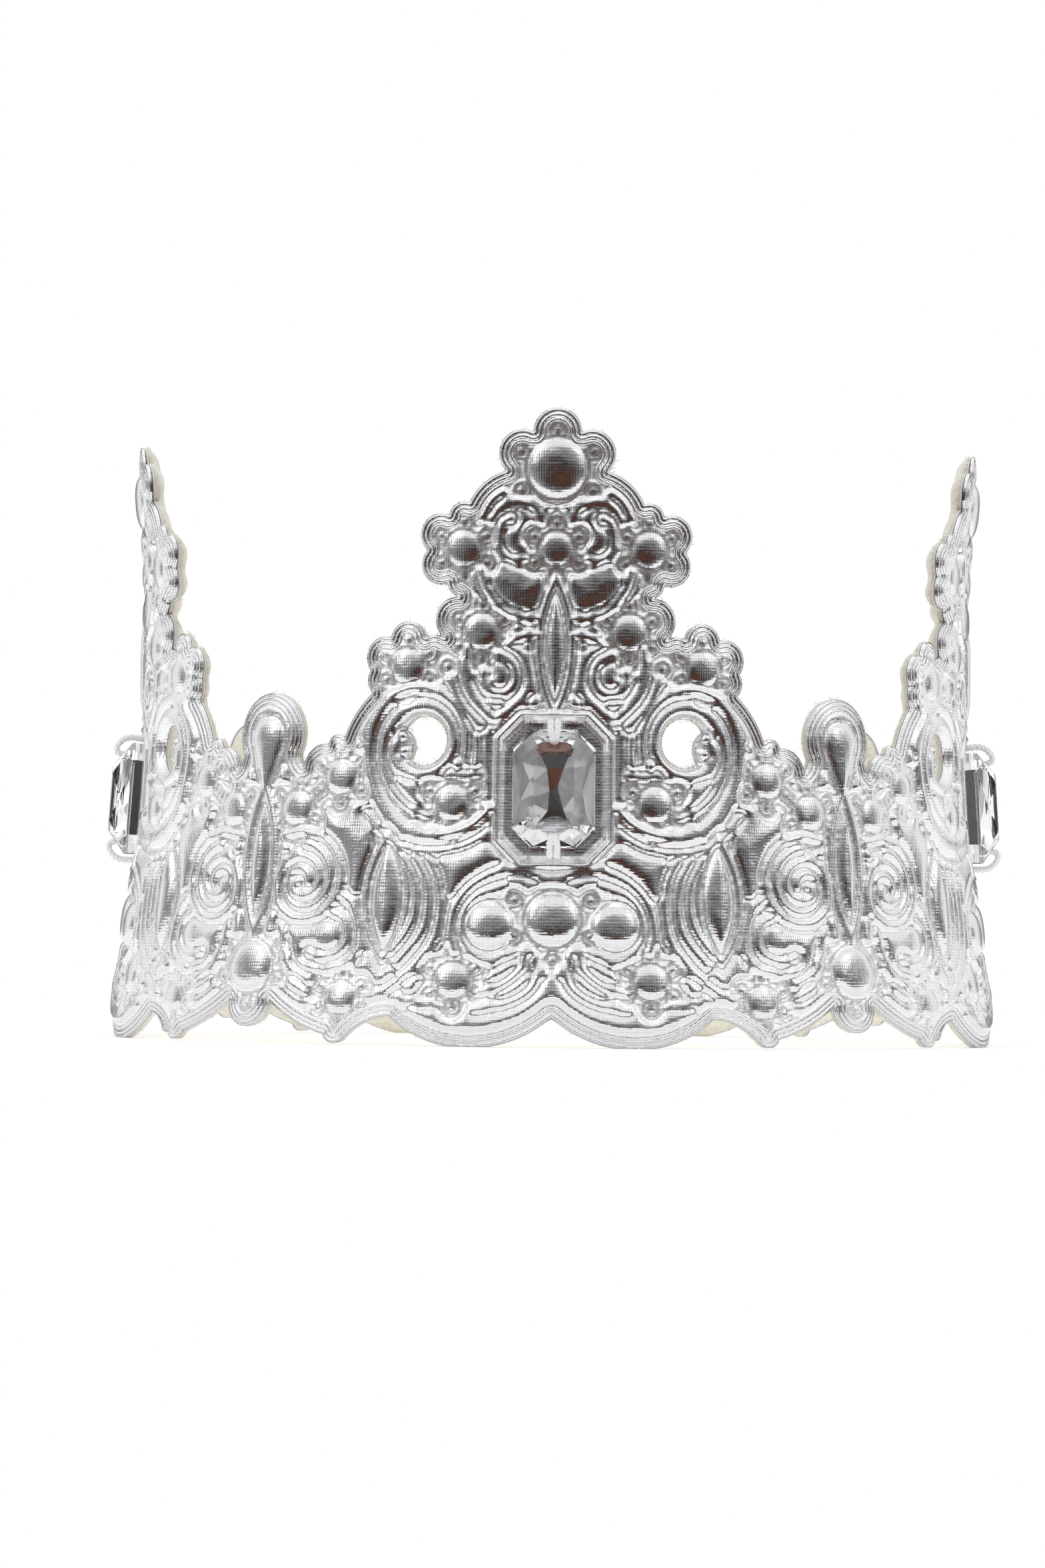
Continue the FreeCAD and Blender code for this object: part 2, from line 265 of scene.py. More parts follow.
def crest_shapes(die):
    """The top of a peak: a big bead, a wing and a heart bead, the crest scroll and a tall almond."""
    die.bead(0, 108.3, 5.7, pips=())
    for place in ((0, 115.4), (6.9, 111.5), (6.8, 104.2)):
        die.pip(*place)
    die.bead(17.9, 93.2, 3.6)
    die.bead(0, 93.2, 3.4)
    die.bead(14.3, 77.6, 3.6)
    die.bead(29.0, 71.2, 3.5)
    die.pip(20.9, 71.1)
    die.rib([(2.9, 98.9), (4.9, 101.4), (8.0, 102.2), (10.9, 100.9), (12.4, 98.2)], 0.75)
    die.rib([(8.9, 98.9), (10.4, 97.7), (11.1, 95.2), (10.4, 92.7), (8.0, 91.0), (6.0, 91.3)], 0.8)
    die.dome(8.8, 98.8, 1.15, 1.2)
    die.rib([(14.3, 89.3), (13.1, 85.4), (10.4, 82.0), (7.1, 80.5), (3.3, 80.1)], 0.8)
    die.rib([(16.2, 88.2), (15.4, 85.6), (14.0, 83.6)], (0.5, 0.65), 1.0)
    die.rib([(3.0, 77.1), (6.1, 76.9), (9.3, 75.2)], 0.7)
    die.leaf(0, 74.8, 2.2, 10.5, 1.7, 1.0)


def side_shapes(die):
    """Beside the stone: the scroll under the crest, the volute round the hole and its long tail."""
    die.rib([(13.9, 69.8), (13.2, 67.4), (11.0, 66.0), (8.6, 66.9), (7.6, 69.5), (8.5, 72.2),
             (11.0, 73.6)], 0.85)
    die.dome(13.7, 70.0, 1.2, 1.2)
    die.rib([(9.3, 75.0), (6.4, 73.2), (5.0, 69.8), (5.4, 66.2), (8.0, 63.4), (11.2, 61.3)], 0.8)
    die.rib([(17.0, 74.6), (17.4, 70.5), (16.5, 66.6), (14.2, 63.6), (11.8, 61.4)], 0.85)
    die.rib([(20.2, 69.2), (19.3, 66.2), (17.4, 63.2), (14.4, 60.3)], 0.75)
    die.dome(29.5, 58.2, 1.25, 1.3)
    die.rib([(29.8, 57.6), (31.3, 56.0), (31.0, 53.3), (28.8, 51.3), (25.5, 50.8), (21.9, 52.2),
             (19.5, 55.8), (19.7, 59.6), (22.0, 62.7), (25.6, 63.8), (29.3, 62.8), (32.2, 60.3),
             (33.5, 56.6), (33.2, 52.4), (31.4, 48.4), (28.2, 45.0), (24.6, 43.0)], (0.85, 0.95, 0.6))
    die.rib([(16.8, 53.2), (16.6, 57.4), (17.9, 62.0), (21.2, 65.6), (25.6, 67.1), (30.2, 66.4),
             (34.0, 63.4), (36.3, 58.2), (36.2, 52.4), (34.3, 46.8), (30.9, 42.3), (26.3, 39.8),
             (20.5, 39.5), (15.5, 41.2), (11.9, 44.4)], (0.6, 1.05, 1.25, 1.3, 1.1), 1.45)
    die.rib([(36.6, 43.6), (32.9, 39.6), (27.9, 36.8), (22.0, 36.2), (16.5, 37.2), (12.2, 39.8)], 0.55, 1.0)
    die.rib([(13.2, 58.2), (12.8, 52.4), (12.6, 46.8)], 0.55, 0.9)
    die.rib([(13.6, 51.0), (17.0, 50.6), (20.2, 51.0)], 0.45, 0.8)
    die.bead(19.4, 45.4, 3.5, pips=(30, -30, -90, -150, 150))
    die.bead(42.3, 50.4, 3.4)
    die.bead(51.9, 44.6, 3.4)


def foot_shapes(die):
    """The lower half: a leaf with nested ribs, open scrolls, and the beads along the scallops."""
    die.leaf(31.5, 27.7, 3.2, 10.2, 1.9, 0.95)
    die.pip(32.4, 39.0)
    die.rib([(28.6, 35.4), (26.3, 31.0), (25.8, 26.0), (27.1, 21.4), (29.8, 17.4)], 0.75)
    die.rib([(26.3, 35.4), (23.9, 31.0), (23.4, 25.5), (24.6, 20.6), (28.6, 15.6)], 0.75)
    die.rib([(23.7, 35.2), (21.5, 30.8), (20.9, 25.2), (21.9, 19.8), (25.4, 14.6), (30.0, 10.9),
             (33.4, 9.0)], 0.75)
    die.dome(11.6, 22.6, 4.7, 2.0)
    die.bead(0, 23.8, 5.1, pips=())
    for place in ((7.1, 27.4), (7.1, 20.6), (0, 16.2)):
        die.pip(*place)
    die.rib([(1.0, 31.3), (5.0, 33.1), (10.0, 32.8), (14.8, 30.2), (17.9, 26.2), (18.8, 21.6),
             (17.9, 17.8)], 0.9)
    die.rib([(9.2, 29.9), (13.8, 28.3), (16.4, 24.6), (16.6, 20.6), (14.7, 17.3), (11.4, 15.8),
             (8.2, 17.0)], (0.5, 0.9))
    die.rib([(4.6, 17.6), (5.6, 14.4), (8.6, 11.7), (12.6, 10.2)], 0.7)
    die.rib([(1.6, 14.6), (4.0, 10.4), (8.2, 7.9), (13.4, 7.0)], 0.85)
    die.rib([(21.6, 8.2), (25.2, 8.4), (28.0, 9.2)], 0.6, 1.0)
    die.bead(18.0, 12.3, 3.4)
    die.bead(39.4, 8.7, 3.2, pips=(90, 30, 150, 205, -25, -90))
    volute = []
    for degrees in range(65, 721, 25):
        radius = 1.9 + 8.0 * ((720 - degrees) / 655) ** 1.15
        volute.append((49.3 + radius * math.cos(math.radians(degrees)),
                       30.6 + radius * math.sin(math.radians(degrees))))
    die.rib(volute, (0.7, 1.05, 1.05, 0.95), 1.3)
    die.dome(50.4, 30.6, 1.15, 1.2)
    die.rib([(40.9, 28.4), (38.0, 26.2), (36.4, 22.2), (36.3, 18.2), (38.3, 15.3), (42.0, 14.2)], 0.8)
    die.rib([(42.4, 25.0), (39.8, 23.2), (39.1, 20.0), (40.5, 17.5), (43.6, 16.5), (46.4, 17.0)], 0.85)
    die.dome(46.6, 17.2, 1.15, 1.2)
    die.rib([(53.4, 22.4), (52.3, 18.0), (49.7, 14.2), (45.7, 12.0)], 0.75)
    die.rib([(44.6, 7.4), (48.6, 8.6), (52.4, 10.8)], 0.55, 0.9)
    die.leaf(60.0, 35.0, 2.2, 11.0, 1.7, 1.3)
    die.bead(60.0, 14.7, 5.1, pips=())
    for place in ((60, 21.6), (60, 7.6), (53.4, 18.5), (53.4, 12.4)):
        die.pip(*place)
    die.rib([(60.0, 47.2), (60.0, 52.5), (60.0, 58.3)], (0.3, 2.5, 4.2), 1.7, spreads=0.0)
    die.rib([(60.0, 46.6), (57.4, 52.6), (55.2, 58.2), (56.6, 62.4), (60.0, 63.6)], 0.4, 0.7)


def octagon_gap(u, z, half_u, half_z, corner):
    """Distance to an upright octagon about the stone's centre, negative inside."""
    across, up = abs(u) - half_u, abs(z - stone_z) - half_z
    return np.maximum(np.maximum(across, up), (across + up + corner) / math.sqrt(2))


def press(u, z, edge, hole_edge, plain):
    """Height of the cloth over its nominal face, and how crushed it is, at flat places. edge and
    hole_edge are distances from the cut, and plain goes from 0 to 1 over the plain end."""
    die = Pressing(u, z)
    crest_shapes(die)
    side_shapes(die)
    foot_shapes(die)
    die.shape(abs(octagon_gap(u, z, 10.8, 14.1, 4.5)) - 0.75, 0.75, 1.3)
    die.shape(abs(octagon_gap(u, z, 9.75, 13.05, 4.1)) - 0.3, 0.3, 0.55)
    die.shape(edge - border, 1.0, 0.0)
    die.shape(hole_edge - 0.5, 1.0, 0.0)
    rise, inset = die.relief()
    rise = np.where(octagon_gap(u, z, 9.35, 12.65, 4.0) < 0, 0.25, rise)
    ridges = 0.45 * abs(np.sin(math.pi * edge / cord_pitch)) * (edge < border)
    rise = np.where(edge < border, ridges, rise * (1 - plain) + 0.3 * plain)
    fall = 0.5 * (1 - np.clip(edge / border, 0, 1)) ** 1.5 + 0.5 * (1 - np.clip(hole_edge / 0.8, 0, 1))
    crushed = np.clip(1 - inset / 0.5, 0, 1) * (1 - plain) * (octagon_gap(u, z, 9.35, 12.65, 4.0) > 0)
    return rise - 0.4 - fall, crushed


def half_outline(top, low, corners_top, corners_low):
    """The closed outline of half a period, drawn over its top and back along its low edge."""
    back = [tuple(reversed(arc)) for arc in reversed(low)]
    return edge_polygon(top, corners_top) + edge_polygon(back, corners_low)


def half_period(step, behind=False):
    """One plate of the band, from a peak (u = 0) to a low pip (u = 60): places, cells and cut edges."""
    first = -math.ceil(4 / step) if behind else 0
    pu, pz = np.meshgrid(np.arange(first, round(60 / step) + 1) * step,
                         np.arange(-1, int(120.5 / step)) * step, indexing="ij")
    if behind:
        arcs = plain_end + valley + low_edge
        outline = half_outline(plain_end + valley, low_edge, [(60, 66.8)], [])
        holes = []
    else:
        arcs = crest + valley + low_edge + scallop
        outline = half_outline(crest + valley, scallop + low_edge, [(60, 66.8)], [(0, 5.5)])
        holes = edge_polygon(scroll_hole)
    centre_u, centre_z = pu[:-1, :-1] + step / 2, pz[:-1, :-1] + step / 2
    kept = within(centre_u, centre_z, outline)
    if holes:
        kept &= ~within(centre_u, centre_z, holes)
    cells = np.pad(kept, 1).astype(int)
    around = cells[:-1, :-1] + cells[1:, :-1] + cells[:-1, 1:] + cells[1:, 1:]
    whole = np.full(around.shape, 4)
    whole[-1] = 2
    if not behind:
        whole[0] = 2
    at_edge = (around > 0) & (around < whole)
    edge, edge_u, edge_z = nearest_on_edge(pu, pz, arcs)
    if behind:
        hole_edge = np.full(pu.shape, 9.0)
    else:
        hole_edge, hole_u, hole_z = nearest_on_edge(pu, pz, scroll_hole)
        at_hole = hole_edge < edge
        edge_u, edge_z = np.where(at_hole, hole_u, edge_u), np.where(at_hole, hole_z, edge_z)
    pu = np.where(at_edge & (whole == 4), edge_u, pu)
    pz = np.where(at_edge, edge_z, pz)
    edge = np.where(at_edge & (edge < hole_edge), 0, edge)
    hole_edge = np.where(at_edge & (hole_edge < 2 * step), 0, hole_edge)
    number = np.arange(pu.size).reshape(pu.shape)
    a, b, c, d = number[:-1, :-1], number[1:, :-1], number[1:, 1:], number[:-1, 1:]
    quads = np.stack([a[kept], b[kept], c[kept], d[kept]], axis=1)
    cut = []
    for corner_a, corner_b, next_to in ((a, b, cells[1:-1, :-2]), (b, c, cells[2:, 1:-1]),
                                        (c, d, cells[1:-1, 2:]), (d, a, cells[:-2, 1:-1])):
        open_side = kept & (next_to == 0)
        if corner_a is b:
            open_side[-1] = False
        if corner_a is d and not behind:
            open_side[0] = False
        cut.append(np.stack([corner_a[open_side], corner_b[open_side]], axis=1))
    return {"u": pu, "z": np.maximum(pz, 0), "edge": edge, "hole_edge": hole_edge, "quads": quads,
            "cut": np.concatenate(cut), "behind": behind}


def soften(field, times):
    for _ in range(times):
        p = np.pad(field, 1, mode="edge")
        p = (p[:-2] + 2 * p[1:-1] + p[2:]) / 4
        field = (p[:, :-2] + 2 * p[:, 1:-1] + p[:, 2:]) / 4
    return field


def stand(name, data):
    """A new object in the scene for a mesh, a light or a camera."""
    made = bpy.data.objects.new(name, data)
    bpy.context.collection.objects.link(made)
    return made


def flat_map(mesh, u, z):
    """Gives every corner its place on the flat pattern, in decimetres, as the UV map "flat"."""
    corner_vertex = np.empty(len(mesh.loops), dtype=np.int32)
    mesh.loops.foreach_get("vertex_index", corner_vertex)
    places = (np.stack([u, z], axis=1) / 100)[corner_vertex]
    mesh.uv_layers.new(name="flat").data.foreach_set("uv", places.ravel())


def lay_on_wall(name, halves, levels, marked=()):
    """A mesh object from half periods laid on the wall. halves are (plate, centre, side), and levels
    gives the layers of a plate from its outside inward, each an array of distances outward."""
    where, outs, faces = [], [], []
    marks = {label: [] for label in marked}
    count = 0
    for plate, centre, side in halves:
        layers = levels(plate)
        quads, cut = plate["quads"], plate["cut"]
        if side < 0:
            quads, cut = quads[:, ::-1], cut[:, ::-1]
        size = plate["u"].size
        faces.append(quads + count)
        for k in range(len(layers) - 1):
            a, b = cut[:, 0] + count + k * size, cut[:, 1] + count + k * size
            faces.append(np.stack([b, a, a + size, b + size], axis=1))
        if plate.get("closed"):
            faces.append(quads[:, ::-1] + count + (len(layers) - 1) * size)
        for k, layer in enumerate(layers):
            where.append(np.stack([centre + side * plate["u"].ravel(), plate["z"].ravel(),
                                   np.full(size, k)], axis=1))
            outs.append(layer.ravel())
            for label in marks:
                marks[label].append(plate[label].ravel())
        count += size * len(layers)
    where, outs, faces = np.concatenate(where), np.concatenate(outs), np.concatenate(faces)
    used = np.unique(faces)
    _, first, same = np.unique(np.round(where[used] * 2000).astype(np.int64), axis=0,
                               return_index=True, return_inverse=True)
    rank = np.full(count, -1)
    rank[used] = same.ravel()
    faces = rank[faces]
    keep = used[first]
    u, z = where[keep, 0], where[keep, 1]
    points = on_wall(u, z, outs[keep])
    points[:, 2] = np.maximum(points[:, 2], 0)
    twice = (faces == np.roll(faces, -1, axis=1)).any(axis=1) | (faces[:, 0] == faces[:, 2]) \
        | (faces[:, 1] == faces[:, 3])
    good = faces[~twice].tolist()
    for face in faces[twice].tolist():
        corners = [v for i, v in enumerate(face) if v not in face[:i]]
        if len(corners) == 3:
            good.append(corners)
    mesh = bpy.data.meshes.new(name)
    mesh.from_pydata(points.tolist(), [], good)
    mesh.validate()
    mesh.shade_smooth()
    flat_map(mesh, u, z)
    for label, values in marks.items():
        mark = mesh.attributes.new(label, "FLOAT", "POINT")
        mark.data.foreach_set("value", np.concatenate(values)[keep])
    return stand(name, mesh)


pressing_step = 60 / 188
peak_plate = half_period(pressing_step)
end_plate = half_period(pressing_step, behind=True)
for plate in (peak_plate, end_plate):
    plain = np.clip((40 - plate["u"]) / 6, 0, 1) * plate["behind"]
    rise, crushed = press(plate["u"], plate["z"], plate["edge"], plate["hole_edge"], plain)
    plate["rise"] = soften(rise, 1)
    plate["crush"] = soften(crushed, 1)


def pinch(plate):
    """From 0 in the body of a plate to 1 at its cut edges, where the layers are pressed thin."""
    outside = np.clip(1 - plate["edge"] / 2.8, 0, 1)
    return np.maximum(outside, np.clip(1 - plate["hole_edge"] / 1.6, 0, 1)) ** 1.4


def cloth_levels(plate):
    return [plate["rise"], plate["rise"] - cloth_thickness * (1 - 0.5 * pinch(plate))]


cloth_pieces = {
    "silver_cloth_front": [(peak_plate, 0, 1), (peak_plate, 0, -1)],
    "silver_cloth_right": [(peak_plate, period, 1), (peak_plate, period, -1)],
    "silver_cloth_left": [(peak_plate, -period, 1), (peak_plate, -period, -1)],
    "silver_cloth_right_end": [(end_plate, 2 * period, -1)],
    "silver_cloth_left_end": [(end_plate, -2 * period, 1)],
}


class Shader:
    """A material or a world being put together: nodes are added and wired by name."""

    def __init__(self, name, kind=bpy.data.materials):
        self.material = kind.new(name)
        self.material.use_nodes = True
        self.tree = self.material.node_tree
        self.surface = self.tree.nodes.get("Principled BSDF")

    def set(self, **values):
        for label, value in values.items():
            self.surface.inputs[label.replace("_", " ")].default_value = value

    def node(self, kind, settings=(), **inputs):
        made = self.tree.nodes.new("ShaderNode" + kind)
        for label, value in dict(settings).items():
            setattr(made, label, value)
        for label, value in inputs.items():
            key = int(label[1:]) if label[0] == "i" and label[1:].isdigit() else label.replace("_", " ")
            socket = made.inputs[key]
            if hasattr(value, "is_output"):
                self.tree.links.new(value, socket)
            else:
                socket.default_value = value
        return made

    def math(self, operation, a, b=0.0, c=0.0):
        return self.node("Math", {"operation": operation}, i0=a, i1=b, i2=c).outputs[0]

    def noise(self, where, scale, detail=2.0, roughness=0.5):
        return self.node("TexNoise", Vector=where, Scale=scale, Detail=detail,
                         Roughness=roughness).outputs["Fac"]

    def ramp(self, value, *stops):
        made = self.node("ValToRGB", Fac=value)
        bar = made.color_ramp
        while len(bar.elements) < len(stops):
            bar.elements.new(0.5)
        for element, (place, colour) in zip(bar.elements, stops):
            element.position = place
            element.color = (*colour, 1) if hasattr(colour, "__len__") else (colour, colour, colour, 1)
        return made.outputs["Color"]

    def bump(self, height, strength, distance, below=None):
        made = self.node("Bump", Height=height, Strength=strength, Distance=distance)
        if below is not None:
            self.tree.links.new(below, made.inputs["Normal"])
        return made.outputs["Normal"]

    def link(self, value, label):
        self.tree.links.new(value, self.surface.inputs[label])


def lame():
    """Metal-coated cloth: a fine weave, soft crinkles, crushed glittering lines and a corded border."""
    shader = Shader("silver_lame")
    flat = shader.node("UVMap", {"uv_map": "flat"}).outputs["UV"]
    crush = shader.node("Attribute", {"attribute_name": "crush"}).outputs["Fac"]
    edge = shader.node("Attribute", {"attribute_name": "edge"}).outputs["Fac"]
    place = shader.node("SeparateXYZ", Vector=flat)
    warp = shader.math("ABSOLUTE", shader.math("SINE", shader.math("MULTIPLY", place.outputs["X"], 666.0)))
    weft = shader.math("ABSOLUTE", shader.math("SINE", shader.math("MULTIPLY", place.outputs["Y"], 520.0)))
    slub = shader.node("Mapping", Vector=flat, Scale=(230, 26, 1)).outputs["Vector"]
    pull = shader.node("Mapping", Vector=flat, Scale=(20, 190, 1)).outputs["Vector"]
    upright = shader.noise(slub, 1.0, 2.0)
    level = shader.noise(pull, 1.0, 2.0)
    ribbed = shader.math("MULTIPLY", shader.math("MULTIPLY", weft, level), 0.65)
    threads = shader.math("ADD", shader.math("MULTIPLY", warp, upright), ribbed)
    crinkle = shader.noise(flat, 30.0, 3.0)
    glitter = shader.node("TexVoronoi", {"feature": "F1"}, Vector=flat, Scale=300.0)
    grains = shader.node("SeparateColor", Color=glitter.outputs["Color"]).outputs["Red"]
    in_border = shader.math("LESS_THAN", edge, border)
    cords = shader.math("ABSOLUTE", shader.math("SINE", shader.math("MULTIPLY", edge, math.pi / cord_pitch)))
    cords = shader.math("MULTIPLY", cords, in_border)
    first = shader.bump(crinkle, 0.4, 0.0005)
    second = shader.bump(threads, 0.5, 0.00006, first)
    third = shader.bump(cords, 0.8, 0.0003, second)
    shader.link(shader.bump(shader.math("MULTIPLY", crush, grains), 0.8, 0.0002, third), "Normal")
    tint = shader.math("ADD", shader.math("MULTIPLY", threads, 0.5), shader.math("MULTIPLY", crush, 0.6))
    shader.link(shader.ramp(tint, (0.1, (0.7, 0.7, 0.715)), (0.8, (0.99, 0.99, 1.0))), "Base Color")
    shader.link(shader.math("ADD", 0.12, shader.math("MULTIPLY", crush, 0.3)), "Roughness")
    shader.set(Metallic=1.0)
    return shader.material


silver_lame = lame()
for name, halves in cloth_pieces.items():
    cloth = lay_on_wall(name, halves, cloth_levels, ("crush", "edge"))
    cloth.data.materials.append(silver_lame)
    tall = 0.12 if len(halves) == 2 else 0.067
    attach(cloth, "crown_band")
    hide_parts("face_cloth")

# --- Foam ---------------------------------------------------------------------------------------------
# A thin sheet of white foam is fused behind the cloth and gives the beads and pads their body. It is cut
# with the cloth, so only its edge shows, pinched by the die.
backing_step = 60 / 63
peak_backing = half_period(backing_step)
end_backing = half_period(backing_step, behind=True)
foam_outside = -1.3
foam_inside = -3.2
all_backings = [(peak_backing, centre, side) for centre in (-period, 0, period) for side in (-1, 1)]
all_backings += [(end_backing, 2 * period, -1), (end_backing, -2 * period, 1)]
for plate in (peak_backing, end_backing):
    plate["closed"] = True


def foam_levels(plate):
    squeezed = pinch(plate)
    ripple = 0.05 * np.sin(plate["u"] * 1.7) * np.sin(plate["z"] * 1.3)
    inner = foam_inside + 1.5 * squeezed
    return [foam_outside + 0 * inner, (foam_outside + inner) / 2 - ripple, inner]


foam = lay_on_wall("foam_sheet", all_backings, foam_levels)
foam_stuff = Shader("white_foam")
place = foam_stuff.node("TexCoord").outputs["Object"]
cells = foam_stuff.node("TexVoronoi", Vector=place, Scale=2600.0).outputs["Distance"]
foam_stuff.link(foam_stuff.ramp(cells, (0.0, (0.62, 0.6, 0.55)), (0.5, (0.86, 0.85, 0.81))), "Base Color")
foam_stuff.link(foam_stuff.bump(cells, 0.5, 0.0002), "Normal")
foam_stuff.set(Roughness=0.9)
foam.data.materials.append(foam_stuff.material)
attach(foam, "crown_band")
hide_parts("foam_core")

# --- Fleece lining ------------------------------------------------------------------------------------
# Cream brushed fleece lines the crown and softens it on the head. It is fused to the foam and cut with
# it, and its nap spreads out of the cut in fine fibres.
lining_inside = -4.2


def fleece_levels(plate):
    squeezed = pinch(plate)
    nap = soften(np.random.default_rng(11).normal(size=plate["u"].shape), 2)
    outer = foam_inside + 1.5 * squeezed
    inner = lining_inside + 1.9 * squeezed + 0.18 * soften(plate["imprint"], 1) + 0.22 * nap
    return [outer, (outer + inner) / 2 + 0.05 * nap, inner]


for plate in (peak_backing, end_backing):
    plain = np.clip((40 - plate["u"]) / 6, 0, 1) * plate["behind"]
    _, plate["imprint"] = press(plate["u"], plate["z"], plate["edge"], plate["hole_edge"], plain)
lining = lay_on_wall("fleece_lining", all_backings, fleece_levels)


def fleece(name):
    stuff = Shader(name)
    place = stuff.node("TexCoord").outputs["Object"]
    tufts = stuff.noise(place, 900.0, 4.0, 0.7)
    clumps = stuff.noise(place, 160.0, 3.0)
    stuff.link(stuff.ramp(stuff.math("MULTIPLY", tufts, stuff.math("ADD", clumps, 0.5)),
                          (0.2, (0.68, 0.62, 0.5)), (0.45, (0.87, 0.83, 0.72)), (0.7, (0.96, 0.94, 0.86))),
               "Base Color")
    stuff.link(stuff.bump(tufts, 0.7, 0.0004, stuff.bump(clumps, 0.6, 0.0006)), "Normal")
    stuff.set(Roughness=0.95, Sheen_Weight=0.5, Sheen_Roughness=0.5)
    return stuff.material


cream_fleece = fleece("cream_fleece")
lining.data.materials.append(cream_fleece)


class Repeat:
    """A Geometry Nodes tree that repeats one small thing over a carrier mesh."""

    def __init__(self, name, *sizes):
        self.tree = bpy.data.node_groups.new(name, "GeometryNodeTree")
        self.tree.interface.new_socket("Carrier", in_out="INPUT", socket_type="NodeSocketGeometry")
        for label, value in sizes:
            kind = "NodeSocketInt" if isinstance(value, int) else "NodeSocketFloat"
            self.tree.interface.new_socket(label, in_out="INPUT", socket_type=kind).default_value = value
        self.tree.interface.new_socket("Result", in_out="OUTPUT", socket_type="NodeSocketGeometry")
        self.sizes = sizes
        self.given = self.tree.nodes.new("NodeGroupInput").outputs

    def node(self, kind, settings=(), **inputs):
        made = self.tree.nodes.new(kind)
        for label, value in dict(settings).items():
            setattr(made, label, value)
        for label, value in inputs.items():
            key = int(label[1:]) if label[0] == "i" and label[1:].isdigit() else label.replace("_", " ")
            if hasattr(value, "is_output"):
                self.tree.links.new(value, made.inputs[key])
            else:
                made.inputs[key].default_value = value
        return made

    def bowed_thread(self, sides, bends):
        """A thread of the given Length and Radius, bowed up by Rise, as a mesh along X."""
        half = self.node("ShaderNodeMath", {"operation": "MULTIPLY"}, i0=self.given["Length"], i1=0.5)
        back = self.node("ShaderNodeMath", {"operation": "MULTIPLY"}, i0=self.given["Length"], i1=-0.5)
        start = self.node("ShaderNodeCombineXYZ", X=back.outputs[0])
        middle = self.node("ShaderNodeCombineXYZ", Z=self.given["Rise"])
        end = self.node("ShaderNodeCombineXYZ", X=half.outputs[0])
        line = self.node("GeometryNodeCurveQuadraticBezier", Resolution=bends, Start=start.outputs[0],
                         Middle=middle.outputs[0], End=end.outputs[0])
        ring = self.node("GeometryNodeCurvePrimitiveCircle", Resolution=sides,
                         Radius=self.given["Radius"])
        return self.node("GeometryNodeCurveToMesh", Curve=line.outputs[0],
                         Profile_Curve=ring.outputs["Curve"], Fill_Caps=True).outputs[0]

    def finish(self, points, thing, rotation, material, carrier, name, scale=None):
        """Puts the thing on the points and makes a plain mesh object of the result."""
        placed = self.node("GeometryNodeInstanceOnPoints", Points=points, Instance=thing,
                           Rotation=rotation)
        if scale is not None:
            self.tree.links.new(scale, placed.inputs["Scale"])
        real = self.node("GeometryNodeRealizeInstances", Geometry=placed.outputs[0])
        dressed = self.node("GeometryNodeSetMaterial", Geometry=real.outputs[0], Material=material)
        self.tree.links.new(dressed.outputs[0], self.tree.nodes.new("NodeGroupOutput").inputs[0])
        modifier = carrier.modifiers.new("repeat", "NODES")
        modifier.node_group = self.tree
        for item in self.tree.interface.items_tree:
            for label, value in self.sizes:
                if item.name == label:
                    modifier[item.identifier] = value
        seen = carrier.evaluated_get(bpy.context.evaluated_depsgraph_get())
        mesh = bpy.data.meshes.new_from_object(seen)
        mesh.name = name
        if not mesh.materials:
            mesh.materials.append(material)
        carrier.modifiers.remove(modifier)
        bpy.data.objects.remove(carrier)
        return stand(name, mesh)


def cut_ribbon(name, halves, out_a, out_b):
    """A ribbon along the cut edges, between two distances outward, for fibres to grow from. It stops at
    the foot, where the nap is pressed flat."""
    points, faces = [], []
    for plate, centre, side in halves:
        for a, b in plate["cut"].tolist():
            if side < 0:
                a, b = b, a
            u, z = plate["u"].ravel()[[a, b]], plate["z"].ravel()[[a, b]]
            if z[0] > 1.2:
                first = len(points)
                points += on_wall(centre + side * u, z, out_a).tolist()
                points += on_wall(centre + side * u, z, out_b).tolist()
                faces.append([first + 1, first, first + 2, first + 3])
    mesh = bpy.data.meshes.new(name)
    mesh.from_pydata(points, [], faces)
    return stand(name, mesh)


fibres = Repeat("fleece_fibres", ("Length", 0.0016), ("Rise", 0.0005), ("Radius", 0.00004),
                ("Per square metre", 2600000.0), ("Seed", 5))
spread = fibres.node("GeometryNodeDistributePointsOnFaces", Mesh=fibres.given["Carrier"],
                     Density=fibres.given["Per square metre"], Seed=fibres.given["Seed"])
tumble = fibres.node("FunctionNodeRandomValue", {"data_type": "FLOAT_VECTOR"}, Min=(-0.9, -0.9, -3.2),
                     Max=(0.9, 0.9, 3.2), Seed=fibres.given["Seed"])
upright = fibres.node("FunctionNodeRotateRotation", {"rotation_space": "LOCAL"},
                      Rotation=spread.outputs["Rotation"], Rotate_By=(0, math.pi / 2, 0))
turned = fibres.node("FunctionNodeRotateRotation", {"rotation_space": "LOCAL"},
                     Rotation=upright.outputs[0], Rotate_By=tumble.outputs[0])
sizes = fibres.node("FunctionNodeRandomValue", {"data_type": "FLOAT"}, i2=0.35, i3=1.25,
                    Seed=fibres.given["Seed"])
fuzz = fibres.finish(spread.outputs["Points"], fibres.bowed_thread(3, 3), turned.outputs[0], cream_fleece,
                     cut_ribbon("fleece_cut", all_backings, foam_inside + 1.45, lining_inside + 1.95),
                     "fleece_edge_fibres", sizes.outputs[1])
for piece in (lining, fuzz):
    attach(piece, "crown_band")
    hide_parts("lining")

# --- Stones -------------------------------------------------------------------------------------------
# Three clear octagonal sew-on stones stand under the peaks. Each is moulded acrylic with sloping facets
# over a shallow keel, a mirror foil behind it, and a hole near each end for the thread.
stone_half_width = 7.75
stone_half_height = 11.15
stone_corner = 3.6
stone_hole_z = 8.9


